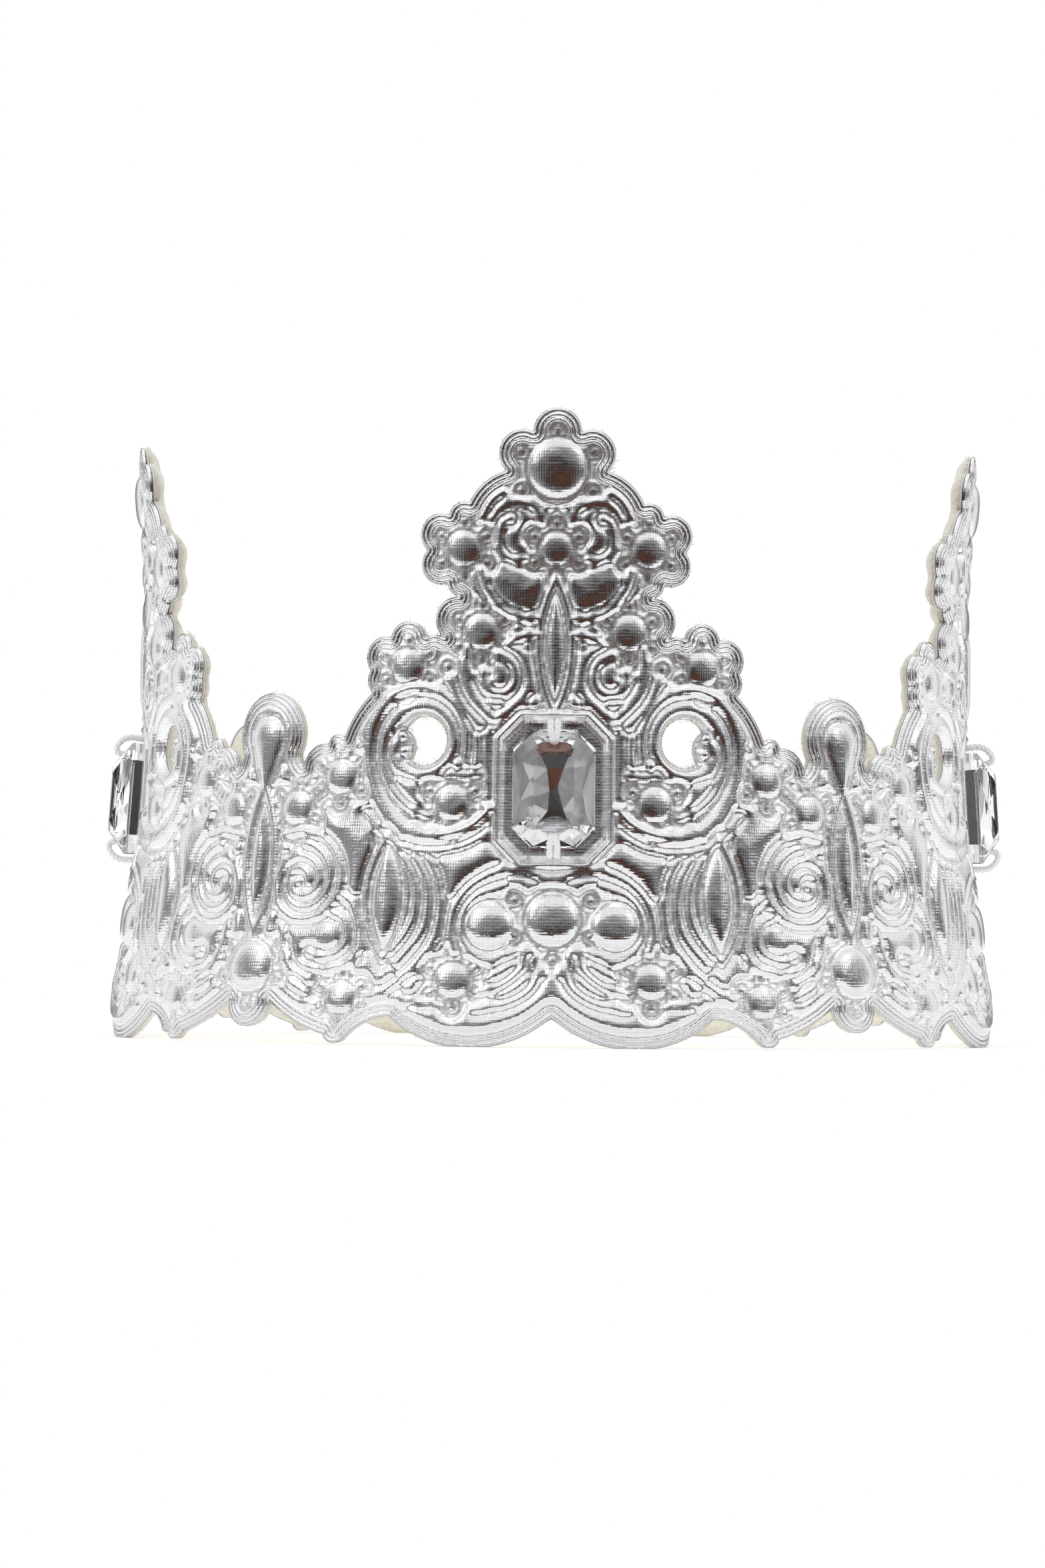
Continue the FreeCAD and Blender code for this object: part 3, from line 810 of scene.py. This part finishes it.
def octagon_ring(half_u, half_z, corner, out):
    w, h, c = half_u, half_z, corner
    return [(c - w, -h, out), (w - c, -h, out), (w, c - h, out), (w, h - c, out),
            (w - c, h, out), (c - w, h, out), (-w, h - c, out), (-w, c - h, out)]


def local_mesh(name, points, faces, place, material, smooth=False):
    """A mesh object from points in millimetres, set on the wall by a placement matrix."""
    work = bmesh.new()
    corners = [work.verts.new(place @ (Vector(p) * mm)) for p in points]
    for face in faces:
        work.faces.new([corners[i] for i in face])
    bmesh.ops.recalc_face_normals(work, faces=work.faces)
    mesh = bpy.data.meshes.new(name)
    work.to_mesh(mesh)
    work.free()
    if smooth:
        mesh.shade_smooth()
    mesh.materials.append(material)
    return stand(name, mesh)


def wall_place(u, z, out=0.0):
    """Matrix of a place on the wall: X runs along it, Y up it, and Z outward."""
    middle, ahead, above = on_wall([u, u + 0.5, u], [z, z, z + 0.5], out)
    along = Vector(ahead - middle).normalized()
    outward = along.cross(Vector(above - middle)).normalized()
    along = Vector((0, 0, 1)).cross(outward).normalized()
    turn = Matrix((along, outward.cross(along), outward)).transposed()
    return Matrix.Translation(Vector(middle)) @ turn.to_4x4()


# The keel under the stone. A steep border runs round it, and an hourglass stands in the middle between
# flatter facets. The hourglass is listed round from the left end of its top.
keel_border = octagon_ring(stone_half_width, stone_half_height, stone_corner, 1.9)
keel_border += octagon_ring(6.95, 10.2, 3.3, 0.95)
hourglass = [(-3.9, 9.2, 0.66), (-1.3, 3.7, 0.45), (-0.8, -0.4, 0.12), (-1.1, -4.1, -0.05),
             (-2.7, -6.4, -0.16), (0.1, -7.9, -0.16), (2.7, -6.2, -0.16), (1.8, -3.9, -0.05),
             (0.7, 0.3, 0.12), (1.8, 3.8, 0.45), (4.0, 9.1, 0.66)]
flank_points = [(-5.0, 5.0, 0.75), (-3.5, 1.5, 0.95), (-5.3, -2.2, 0.65), (-3.9, -5.4, 1.05),
                (5.0, 4.4, 0.95), (4.3, -0.4, 0.6), (5.2, -4.6, 1.0), (0.2, 6.2, 0.55), (0.1, -5.4, -0.14)]
keel_points = keel_border + hourglass + flank_points
keel_outlines = [(i, (i + 1) % 8) for i in range(8)] + [(8 + i, 8 + (i + 1) % 8) for i in range(8)]
keel_outlines += [(16 + i, 16 + (i + 1) % 11) for i in range(11)]
keel_net = delaunay_2d_cdt([Vector(point[:2]) for point in keel_points], keel_outlines, [], 0, 1e-6)
keel_faces = [tuple(keel_net[3][corner][0] for corner in face) for face in keel_net[2]]
keel_middles = np.array([[keel_points[corner][:2] for corner in face] for face in keel_faces]).mean(axis=1)
in_hourglass = within(keel_middles[:, 0], keel_middles[:, 1], [point[:2] for point in hourglass])
on_flank = np.array([min(face) >= 8 for face in keel_faces]) & ~in_hourglass
on_flank &= keel_middles[:, 1] > -6.8


def stone_body(name, place, material):
    """The clear body: keel below, upright girdle, crossed facets up the sides, and a flat table."""
    under = [(x, y, out + 0.03) for x, y, out in keel_points]
    girdle = octagon_ring(stone_half_width, stone_half_height, stone_corner, 2.5)
    table = octagon_ring(3.75, 6.5, 1.7, 6.15)
    belt = [(0, -9.2, 4.1), (6.1, -8.9, 3.8), (6.35, 0, 4.35), (6.1, 8.9, 3.8), (0, 9.2, 4.1),
            (-6.1, 8.9, 3.8), (-6.35, 0, 4.35), (-6.1, -8.9, 3.8)]
    points = under + girdle + table + belt
    faces = [tuple(reversed(face)) for face in keel_faces]
    g = len(under)
    t, b = g + 8, g + 16
    for i in range(8):
        j = (i + 1) % 8
        faces.append((i, j, g + j, g + i))
        faces.append((g + i, g + j, b + i))
        faces.append((t + j, t + i, b + i))
        faces.append((g + j, t + j, b + i))
        faces.append((t + i, g + i, b + i))
    faces.append(tuple(t + i for i in range(8)))
    made = local_mesh(name, points, faces, place, material)
    worn = made.data.attributes.new("bevel_weight_edge", "FLOAT", "EDGE")
    for edge in made.data.edges:
        worn.data[edge.index].value = 1.0 if min(edge.vertices) >= g else 0.0
    rounded = made.modifiers.new("rounded", "BEVEL")
    rounded.limit_method = "WEIGHT"
    rounded.width = 0.13 * mm
    rounded.segments = 2
    for side in (-1, 1):
        rim = [(math.cos(a) * 0.95, side * stone_hole_z + math.sin(a) * 0.95)
               for a in np.linspace(0, 2 * math.pi, 20, endpoint=False)]
        pin_points = [(x, y, -1.0) for x, y in rim] + [(x, y, 8.0) for x, y in rim]
        pin_faces = [tuple(range(20)), tuple(range(20, 40))]
        pin_faces += [(i, (i + 1) % 20, 20 + (i + 1) % 20, 20 + i) for i in range(20)]
        pin = local_mesh("pin", pin_points, pin_faces, place, material)
        bore = made.modifiers.new("bore", "BOOLEAN")
        bore.object = pin
        seen = made.evaluated_get(bpy.context.evaluated_depsgraph_get())
        bored = bpy.data.meshes.new_from_object(seen)
        made.modifiers.clear()
        made.data = bored
        bpy.data.objects.remove(pin)
    return made


def clear_acrylic():
    stuff = Shader("clear_acrylic")
    place = stuff.node("TexCoord").outputs["Object"]
    ripple = stuff.noise(place, 420.0, 2.0)
    scuffs = stuff.noise(place, 1500.0, 4.0)
    stuff.link(stuff.bump(ripple, 0.12, 0.0002), "Normal")
    stuff.link(stuff.ramp(scuffs, (0.55, 0.0), (0.8, 0.06)), "Roughness")
    stuff.set(Base_Color=(0.985, 0.99, 1.0, 1), Transmission_Weight=1.0, IOR=1.49)
    return stuff.material


def mirror_foil(name, least, most):
    stuff = Shader(name)
    place = stuff.node("TexCoord").outputs["Object"]
    spots = stuff.noise(place, 700.0, 3.0)
    stuff.link(stuff.ramp(spots, (0.3, (0.86, 0.85, 0.84)), (0.7, (0.97, 0.97, 0.97))), "Base Color")
    stuff.link(stuff.ramp(spots, (0.4, least), (0.9, most)), "Roughness")
    stuff.set(Metallic=1.0)
    return stuff.material


acrylic = clear_acrylic()
foil_stuff = mirror_foil("mirror_foil", 0.03, 0.12)
side_foil = mirror_foil("side_foil", 0.4, 0.55)
for name, u in (("front", 0), ("right", period), ("left", -period)):
    place = wall_place(u, stone_z)
    body = stone_body(name + "_stone_cut", place, acrylic)
    back = octagon_ring(stone_half_width - 0.1, stone_half_height - 0.1, stone_corner, -0.3)
    first = len(keel_points)
    backing_faces = keel_faces + [(i, first + i, first + (i + 1) % 8, (i + 1) % 8) for i in range(8)]
    backing_faces.append(tuple(range(first + 7, first - 1, -1)))
    foil = local_mesh(name + "_mirror_back", keel_points + back, backing_faces, place, foil_stuff)
    foil.data.materials.append(side_foil)
    for facet in np.flatnonzero(on_flank):
        foil.data.polygons[int(facet)].material_index = 1
    for piece, node, finish in ((body, "_stone", "stone"), (foil, "_stone_foil", "foil")):
        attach(piece, "crown_band")
        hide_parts(name + node)

# --- Stone threads ------------------------------------------------------------------------------------
# Two strands of thick white three-ply thread hold each stone: out through the cloth, over the stone's end
# and down its sewing hole, at the top and again at the bottom, with a knot at each end behind the lining.
strand_radius = 0.66


def plied_thread(name, path, radius, plies, lay, place, material):
    """A plied thread along a path: each ply is a tube that winds round it once every lay."""
    points, faces = [], []
    line = np.array(path)
    tangent = np.gradient(line, axis=0)
    tangent /= np.linalg.norm(tangent, axis=1)[:, None]
    across = np.tile([1.0, 0.0, 0.0], (len(line), 1))
    other = np.cross(tangent, across)
    other /= np.linalg.norm(other, axis=1)[:, None]
    across = np.cross(other, tangent)
    walked = np.concatenate([[0], np.cumsum(np.linalg.norm(np.diff(line, axis=0), axis=1))])
    ply = radius * 0.56
    sides = 10
    for k in range(plies):
        turn = (2 * math.pi * (walked / lay + k / plies))[:, None]
        middle = line + (radius - ply) * (np.cos(turn) * across + np.sin(turn) * other)
        first = len(points)
        for i, centre in enumerate(middle):
            shrink = 0.6 if i in (0, len(middle) - 1) else 1.0
            for j in range(sides):
                a = 2 * math.pi * j / sides
                points.append(centre + shrink * ply * (math.cos(a) * across[i] + math.sin(a) * other[i]))
        for i in range(len(middle) - 1):
            for j in range(sides):
                n = (j + 1) % sides
                a, b = first + i * sides, first + (i + 1) * sides
                faces.append((a + j, a + n, b + n, b + j))
        faces.append(tuple(first + j for j in range(sides)))
        faces.append(tuple(first + (len(middle) - 1) * sides + j for j in range(sides)))
    return local_mesh(name, points, faces, place, material, smooth=True)


def glowing_cotton(name, dark, light, fibre):
    stuff = Shader(name)
    place = stuff.node("TexCoord").outputs["Object"]
    strands = stuff.noise(place, fibre, 4.0, 0.65)
    stuff.link(stuff.ramp(strands, (0.3, dark), (0.65, light)), "Base Color")
    stuff.link(stuff.bump(strands, 0.6, 0.00012), "Normal")
    # The faint white emission is painted light: the thread glows a little, so it reads whiter than the lamps
    # alone would light it.
    stuff.set(Roughness=0.75, Sheen_Weight=0.8, Emission_Color=(1, 1, 1, 1), Emission_Strength=0.12)
    return stuff.material


# Every white thread, round the stones and in the seams, carries this painted glow.
glowing_white_thread = glowing_cotton("glowing_white_thread", (0.9, 0.9, 0.9), (1.0, 1.0, 1.0), 2600.0)
over = stone_half_height + 1.25
behind_lining = lining_inside - 0.85
turn_points = [(0, over, behind_lining), (0, over, -1.5), (0, over, 1.2), (0, over + 0.05, 3.0),
               (0, over - 0.5, 4.5), (0, over - 1.9, 5.6), (0, stone_hole_z + 0.6, 5.6),
               (0, stone_hole_z, 4.4), (0, stone_hole_z, 1.5), (0, stone_hole_z, -1.5),
               (0, stone_hole_z, -3.6)]

for name, u in (("front", 0), ("right", period), ("left", -period)):
    place = wall_place(u, stone_z)
    pieces = []
    for side in (-1, 1):
        fan = [(side * (0.4 if y < over - 2.2 else 0.68), y, out) for _, y, out in turn_points[:-1]]
        under = [(side * 0.42, stone_hole_z, -4.4), (side * 0.42, stone_hole_z - 1.2, behind_lining),
                 (side * 0.42, 0, behind_lining), (side * 0.42, 1.2 - stone_hole_z, behind_lining),
                 (side * 0.42, -stone_hole_z, -4.4)]
        path = smooth_line(fan + under + [(x, -y, out) for x, y, out in reversed(fan)], 0.3, round)
        strand = "near" if side < 0 else "far"
        pieces.append(plied_thread(f"{name}_sewing_{strand}", path, strand_radius, 3, 2.8, place,
                                   glowing_white_thread))
        loop = [(1.0 * math.cos(a), side * over + 0.95 * math.sin(a), behind_lining - 0.3 - 0.1 * a)
                for a in np.linspace(0, 4 * math.pi, 60)]
        end = "low" if side < 0 else "high"
        pieces.append(plied_thread(f"{name}_knot_{end}", loop, 0.5, 3, 2.4, place, glowing_white_thread))
    for piece in pieces:
        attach(piece, "crown_band")
        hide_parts(name + "_stone_thread")

# --- Webbing tab --------------------------------------------------------------------------------------
# A strip of white polyester webbing closes the crown behind. One end is sewn to the left end of the band,
# and the rest folds over the right end. It is woven in cross ribs, with a firm selvedge along each side.
tab_low = 12.0
tab_high = 40.0
tab_thickness = 1.4
tab_free_end = 207.3
fold = 266.9
tab_sewn_end = round_the_oval - 230.0
patch_thickness = 1.2
patch_gap = 0.2


def tab_lift(u):
    """How far the tab's inside stands off the wall."""
    t = np.clip((262.0 - np.asarray(u, float)) / 20.0, 0, 1)
    return (2 * patch_thickness + patch_gap) * t * t * (3 - 2 * t)


def woven_strip(name, u0, u1, z0, z1, lift, thick, material, rib, depth, corner, step=0.5):
    """A closed strip on the wall with cross ribs on both faces and rounded corners and sides."""
    us = np.linspace(u0, u1, round((u1 - u0) / step) + 1)
    zs = np.linspace(z0, z1, round((z1 - z0) / step) + 1)
    u, z = np.meshgrid(us, zs, indexing="ij")
    side_u = np.minimum(u - u0, u1 - u)
    side_z = np.minimum(z - z0, z1 - z)
    tuck = corner * (1 - np.sqrt(1 - (1 - np.clip(side_u / corner, 0, 1)) ** 2))
    z = (z0 + z1) / 2 + (z - (z0 + z1) / 2) * (1 - 2 * tuck / (z1 - z0))
    round_off = 0.45 * thick * (1 - np.clip(np.minimum(side_u, side_z) / (0.7 * thick), 0, 1)) ** 2
    ribs = depth * (abs(np.sin(math.pi * u / rib)) - 1) + 0.4 * depth * np.sin(2 * math.pi * z / 1.9)
    outer = lift(u) + thick - round_off + ribs
    inner = lift(u) + round_off - 0.3 * ribs
    points = np.concatenate([on_wall(u, z, outer).reshape(-1, 3), on_wall(u, z, inner).reshape(-1, 3)])
    number = np.arange(u.size).reshape(u.shape)
    a, b, c, d = (n.ravel() for n in (number[:-1, :-1], number[1:, :-1], number[1:, 1:], number[:-1, 1:]))
    faces = [np.stack([a, b, c, d], 1), np.stack([d, c, b, a], 1) + u.size]
    round_it = np.concatenate([number[:, 0], number[-1, 1:], number[::-1, -1][1:], number[0, ::-1][1:]])
    p, q = round_it[:-1], round_it[1:]
    faces.append(np.stack([q, p, p + u.size, q + u.size], 1))
    mesh = bpy.data.meshes.new(name)
    mesh.from_pydata(points.tolist(), [], np.concatenate(faces).tolist())
    mesh.shade_smooth()
    flat_map(mesh, np.tile(u.ravel(), 2), np.tile(z.ravel(), 2))
    mesh.materials.append(material)
    return stand(name, mesh)


def weave_height(shader, flat, threads_u, threads_z):
    """A plain weave on the flat pattern: threads_u and threads_z are threads to the decimetre."""
    place = shader.node("SeparateXYZ", Vector=flat)
    across = shader.math("MULTIPLY", place.outputs["X"], threads_u * math.pi)
    up = shader.math("MULTIPLY", place.outputs["Y"], threads_z * math.pi)
    warp = shader.math("ABSOLUTE", shader.math("SINE", across))
    weft = shader.math("ABSOLUTE", shader.math("SINE", up))
    over = shader.math("MULTIPLY", shader.math("SINE", across), shader.math("SINE", up))
    return shader.math("ADD", shader.math("MULTIPLY", warp, 0.6),
                       shader.math("ADD", shader.math("MULTIPLY", weft, 0.8),
                                   shader.math("MULTIPLY", over, 0.3)))


def webbing_stuff():
    stuff = Shader("white_webbing")
    flat = stuff.node("UVMap", {"uv_map": "flat"}).outputs["UV"]
    weave = weave_height(stuff, flat, 125, 210)
    fibre = stuff.noise(stuff.node("Mapping", Vector=flat, Scale=(60, 900, 1)).outputs["Vector"], 1.0, 3.0)
    both = stuff.math("ADD", stuff.math("MULTIPLY", weave, 0.5), stuff.math("MULTIPLY", fibre, 0.5))
    stuff.link(stuff.ramp(both, (0.2, (0.6, 0.6, 0.6)), (0.75, (0.9, 0.9, 0.89))), "Base Color")
    stuff.link(stuff.bump(weave, 0.7, 0.00018, stuff.bump(fibre, 0.5, 0.0001)), "Normal")
    stuff.set(Roughness=0.6, Sheen_Weight=0.25)
    return stuff.material


white_webbing = webbing_stuff()
tab = woven_strip("webbing_tab", tab_free_end, tab_sewn_end, tab_low, tab_high, tab_lift, tab_thickness,
                  white_webbing, 0.8, 0.12, 1.2, 0.2)
fold_place = [on_wall(u, 26.0, 0.0).tolist() for u in (fold + 1.4, fold - 2.2)]
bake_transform(tab)
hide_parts("tab_root", "closing_tab")

# --- Hook and loop patches ----------------------------------------------------------------------------
# White nylon tape sewn with rounded corners: loops lie on the right end of the band and the hooks inside
# the tab's free end, so that the tab presses shut over a range of head sizes.
loop_patch_box = (210.0, 240.0, 13.0, 39.0)
hook_patch_box = (209.3, 236.0, 14.0, 38.0)
ground = 0.7                          # thickness of the woven ground that the pile stands on


def tape_stuff(name, dark, light):
    stuff = Shader(name)
    flat = stuff.node("UVMap", {"uv_map": "flat"}).outputs["UV"]
    weave = weave_height(stuff, flat, 180, 180)
    stuff.link(stuff.ramp(weave, (0.3, dark), (1.2, light)), "Base Color")
    stuff.link(stuff.bump(weave, 0.6, 0.00015), "Normal")
    stuff.set(Roughness=0.5, Sheen_Weight=0.2)
    return stuff.material


loop_stuff = tape_stuff("loop_tape", (0.8, 0.8, 0.8), (0.95, 0.95, 0.95))
hook_stuff = tape_stuff("hook_tape", (0.7, 0.71, 0.72), (0.92, 0.93, 0.94))


def hook_base(u):
    return tab_lift(u) - ground


def loop_base(u):
    return np.zeros(np.shape(u))


loop_tape = woven_strip("loop_tape_ground", *loop_patch_box, loop_base, ground, loop_stuff, 0.55, 0.05, 2.0)
hook_tape = woven_strip("hook_tape_ground", *hook_patch_box, hook_base, ground, hook_stuff, 0.55, 0.05, 2.0)


def marked_points(name, places):
    """A carrier of points with the way each faces and the way it runs. places are (u, z, out, inward,
    angle): inward turns it to face the head, and angle turns its run on the wall."""
    points, facing, run = [], [], []
    for u, z, out, inward, angle in places:
        place = wall_place(u, z, out)
        points.append(place.translation)
        facing.append(-place.col[2].to_3d() if inward else place.col[2].to_3d())
        run.append(math.cos(angle) * place.col[0].to_3d() + math.sin(angle) * place.col[1].to_3d())
    mesh = bpy.data.meshes.new(name)
    mesh.from_pydata(points, [], [])
    for label, values in (("facing", facing), ("run", run)):
        mesh.attributes.new(label, "FLOAT_VECTOR", "POINT").data.foreach_set(
            "vector", np.array(values).ravel())
    return stand(name, mesh)


def bowed_row(name, places, length, rise, radius, material, sides, bends):
    """One bowed thread at each place, standing along its facing and lying along its run."""
    tree = Repeat(name + "_tree", ("Length", length), ("Rise", rise), ("Radius", radius))
    facing = tree.node("GeometryNodeInputNamedAttribute", {"data_type": "FLOAT_VECTOR"}, Name="facing")
    run = tree.node("GeometryNodeInputNamedAttribute", {"data_type": "FLOAT_VECTOR"}, Name="run")
    stood = tree.node("FunctionNodeAlignRotationToVector", {"axis": "Z"}, Vector=facing.outputs[0])
    lying = tree.node("FunctionNodeAlignRotationToVector", {"axis": "X", "pivot_axis": "Z"},
                      Rotation=stood.outputs[0], Vector=run.outputs[0])
    points = tree.node("GeometryNodeMeshToPoints", Mesh=tree.given["Carrier"])
    return tree.finish(points.outputs[0], tree.bowed_thread(sides, bends), lying.outputs[0], material,
                       marked_points(name + "_places", places), name)


chance = np.random.default_rng(23)
loop_places, hook_places = [], []
u0, u1, z0, z1 = loop_patch_box
for u in np.arange(u0 + 0.8, u1 - 0.7, 0.52):
    for z in np.arange(z0 + 0.8, z1 - 0.7, 0.52):
        turn = chance.uniform(0, 2 * math.pi)
        loop_places.append((u + chance.uniform(-0.2, 0.2), z + chance.uniform(-0.2, 0.2), ground - 0.05,
                            False, turn))
u0, u1, z0, z1 = hook_patch_box
for row, u in enumerate(np.arange(u0 + 1.2, u1 - 1.1, 0.9)):
    for z in np.arange(z0 + 1.2 + 0.4 * (row % 2), z1 - 1.1, 0.9):
        hook_places.append((u, z, float(tab_lift(u)) - ground + 0.05, True, 0.0))
loops = bowed_row("loop_tape_pile", loop_places, 0.0011, 0.0010, 0.00006, loop_stuff, 4, 6)
hooks = bowed_row("hook_tape_hooks", hook_places, 0.0006, 0.0009, 0.00012, hook_stuff, 5, 5)
for pieces, node, finish in (((loop_tape, loops), "loop_patch", "loop_tape"),
                             ((hook_tape, hooks), "hook_patch", "hook_tape")):
    for piece in pieces:
        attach(piece, "closing_tab" if node == "hook_patch" else "crown_band")
        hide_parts(node)

# --- Sewing -------------------------------------------------------------------------------------------
# White polyester thread sews the patches and the tab down with a running stitch round a box, 2 mm inside
# their edges. One stitch shows outside and the next one on the lining.
sewing_radius = 0.35
stitch = 4.0


def running_stitch(name, outline_box, out_level, in_level, body):
    u0, u1, z0, z1 = outline_box
    corners = [(u0, z0), (u1, z0), (u1, z1), (u0, z1), (u0, z0)]
    places = []
    number = 0
    lengths = []
    for (ua, za), (ub, zb) in zip(corners, corners[1:]):
        side = math.hypot(ub - ua, zb - za)
        count = max(2, 2 * round(side / stitch / 2))
        lengths.append(side / count)
        for i in range(count):
            t = (i + 0.5) / count
            u, z = ua + (ub - ua) * t, za + (zb - za) * t
            inward = number % 2 == 1
            level = in_level(u) if inward else out_level(u)
            places.append((u, z, level, inward, math.atan2(zb - za, ub - ua)))
            number += 1
    made = bowed_row(name + "_seam", places, max(lengths) * mm * 0.98, 0.0007, sewing_radius * mm,
                     glowing_white_thread, 8, 8)
    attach(made, body)
    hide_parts(name)


def inset_box(box, inset):
    return box[0] + inset, box[1] - inset, box[2] + inset, box[3] - inset


running_stitch("loop_patch_stitches", inset_box(loop_patch_box, 2.0), lambda u: 0.7,
               lambda u: lining_inside - 0.1, "crown_band")
running_stitch("hook_patch_stitches", inset_box(hook_patch_box, 2.0),
               lambda u: float(tab_lift(u)) + tab_thickness - 0.15,
               lambda u: float(tab_lift(u)) - ground + 0.1, "closing_tab")
running_stitch("tab_root_stitches", (fold + 3.65, tab_sewn_end - 2.0, tab_low + 2.0, tab_high - 2.0),
               lambda u: tab_thickness - 0.15, lambda u: lining_inside - 0.1, "crown_band")

# --- Floor, light and camera --------------------------------------------------------------------------
# A white table in a bright white room. The light comes from all round, and the room is darker only where
# the viewer stands, which gives the silver its grey.
floor_mesh = bpy.data.meshes.new("floor")
table_corners = [(-0.5, -0.17, 0), (0.5, -0.17, 0), (0.5, 0.6, 0), (-0.5, 0.6, 0)]
floor_mesh.from_pydata(table_corners, [], [(0, 1, 2, 3)])
floor = stand("floor", floor_mesh)
floor_stuff = Shader("white_table")
grain = floor_stuff.noise(floor_stuff.node("TexCoord").outputs["Object"], 60.0, 3.0)
floor_stuff.link(floor_stuff.ramp(grain, (0.3, (0.93, 0.93, 0.93)), (0.7, (0.95, 0.95, 0.95))), "Base Color")
floor_stuff.set(Roughness=1.0, Specular_IOR_Level=0.0, Emission_Color=(1, 1, 1, 1), Emission_Strength=0.2)
floor_mesh.materials.append(floor_stuff.material)

room = Shader("white_room", bpy.data.worlds)
bpy.context.scene.world = room.material
view = room.node("TexCoord").outputs["Generated"]
direction = room.node("SeparateXYZ", Vector=view)
to_viewer = room.math("MULTIPLY", direction.outputs["Y"], -1.0)
around = room.math("ARCTAN2", direction.outputs["X"], to_viewer)
above = room.math("ARCSINE", direction.outputs["Z"])
wide = room.math("POWER", room.math("MULTIPLY", room.math("SUBTRACT", around, 0.12), 0.5), 2.0)
tall = room.math("POWER", room.math("MULTIPLY", room.math("SUBTRACT", above, -0.25), 0.8), 2.0)
distance = room.math("SQRT", room.math("ADD", wide, tall))
grey = room.ramp(distance, (0.0, (0.03, 0.025, 0.025)), (0.08, (0.15, 0.06, 0.035)),
                 (0.2, (0.03, 0.027, 0.027)), (0.36, (0.2, 0.195, 0.195)),
                 (0.58, (0.42, 0.42, 0.43)), (0.72, (1.0, 1.0, 1.0)))


def darker_toward(colour, toward, inner, outer, shade):
    """Darkens the room round one direction, from inner to outer (cosines of the angle away from it)."""
    facing = room.node("VectorMath", {"operation": "DOT_PRODUCT"}, i0=view, i1=toward).outputs["Value"]
    dark = room.ramp(facing, (outer, 1.0), (inner, shade))
    both = room.node("Mix", {"data_type": "RGBA", "blend_type": "MULTIPLY"}, Factor=1.0)
    room.tree.links.new(colour, both.inputs["A"])
    room.tree.links.new(dark, both.inputs["B"])
    return both.outputs["Result"]


for toward, inner, outer, shade in (((0, 1, 0), 0.93, 0.72, 0.2), ((0.96, -0.25, 0.1), 0.97, 0.87, 0.35),
                                    ((-0.96, -0.25, 0.1), 0.97, 0.87, 0.35)):
    grey = darker_toward(grey, toward, inner, outer, shade)
straight = room.node("LightPath").outputs["Is Camera Ray"]
shown = room.node("Mix", {"data_type": "RGBA"}, Factor=straight)
room.tree.links.new(grey, shown.inputs["A"])
shown.inputs["B"].default_value = (1, 1, 1, 1)
backdrop = room.tree.nodes["Background"]
room.tree.links.new(shown.outputs["Result"], backdrop.inputs["Color"])
backdrop.inputs["Strength"].default_value = 1.0


def soft_box(name, place, aim, size, watts):
    light = bpy.data.lights.new(name, "AREA")
    light.shape = "RECTANGLE"
    light.size, light.size_y = size
    light.energy = watts
    lamp = stand(name, light)
    lamp.location = place
    lamp.rotation_euler = (Vector(aim) - Vector(place)).to_track_quat("-Z", "Y").to_euler()


soft_box("left_soft_box", (-0.7, -0.55, 0.55), (0, 0, 0.05), (0.5, 0.7), 0.7)
soft_box("right_soft_box", (0.75, -0.45, 0.45), (0, 0, 0.05), (0.4, 0.6), 0.4)
soft_box("top_soft_box", (0, 0.1, 0.95), (0, 0, 0.05), (0.8, 0.8), 1.0)

camera_data = bpy.data.cameras.new("camera")
camera_data.sensor_fit = "VERTICAL"
camera_data.sensor_height = 36.0
camera_data.lens = 96.0
camera = stand("camera", camera_data)
pan, tilt, roll = math.radians(0.43), math.radians(92.5), 0.0119
turn = Matrix.Rotation(pan, 4, "Z") @ Matrix.Rotation(tilt, 4, "X") @ Matrix.Rotation(roll, 4, "Z")
camera.matrix_world = Matrix.Translation((0, -0.856, 0.015)) @ turn
bpy.context.scene.camera = camera
bpy.context.scene.view_settings.view_transform = "Standard"
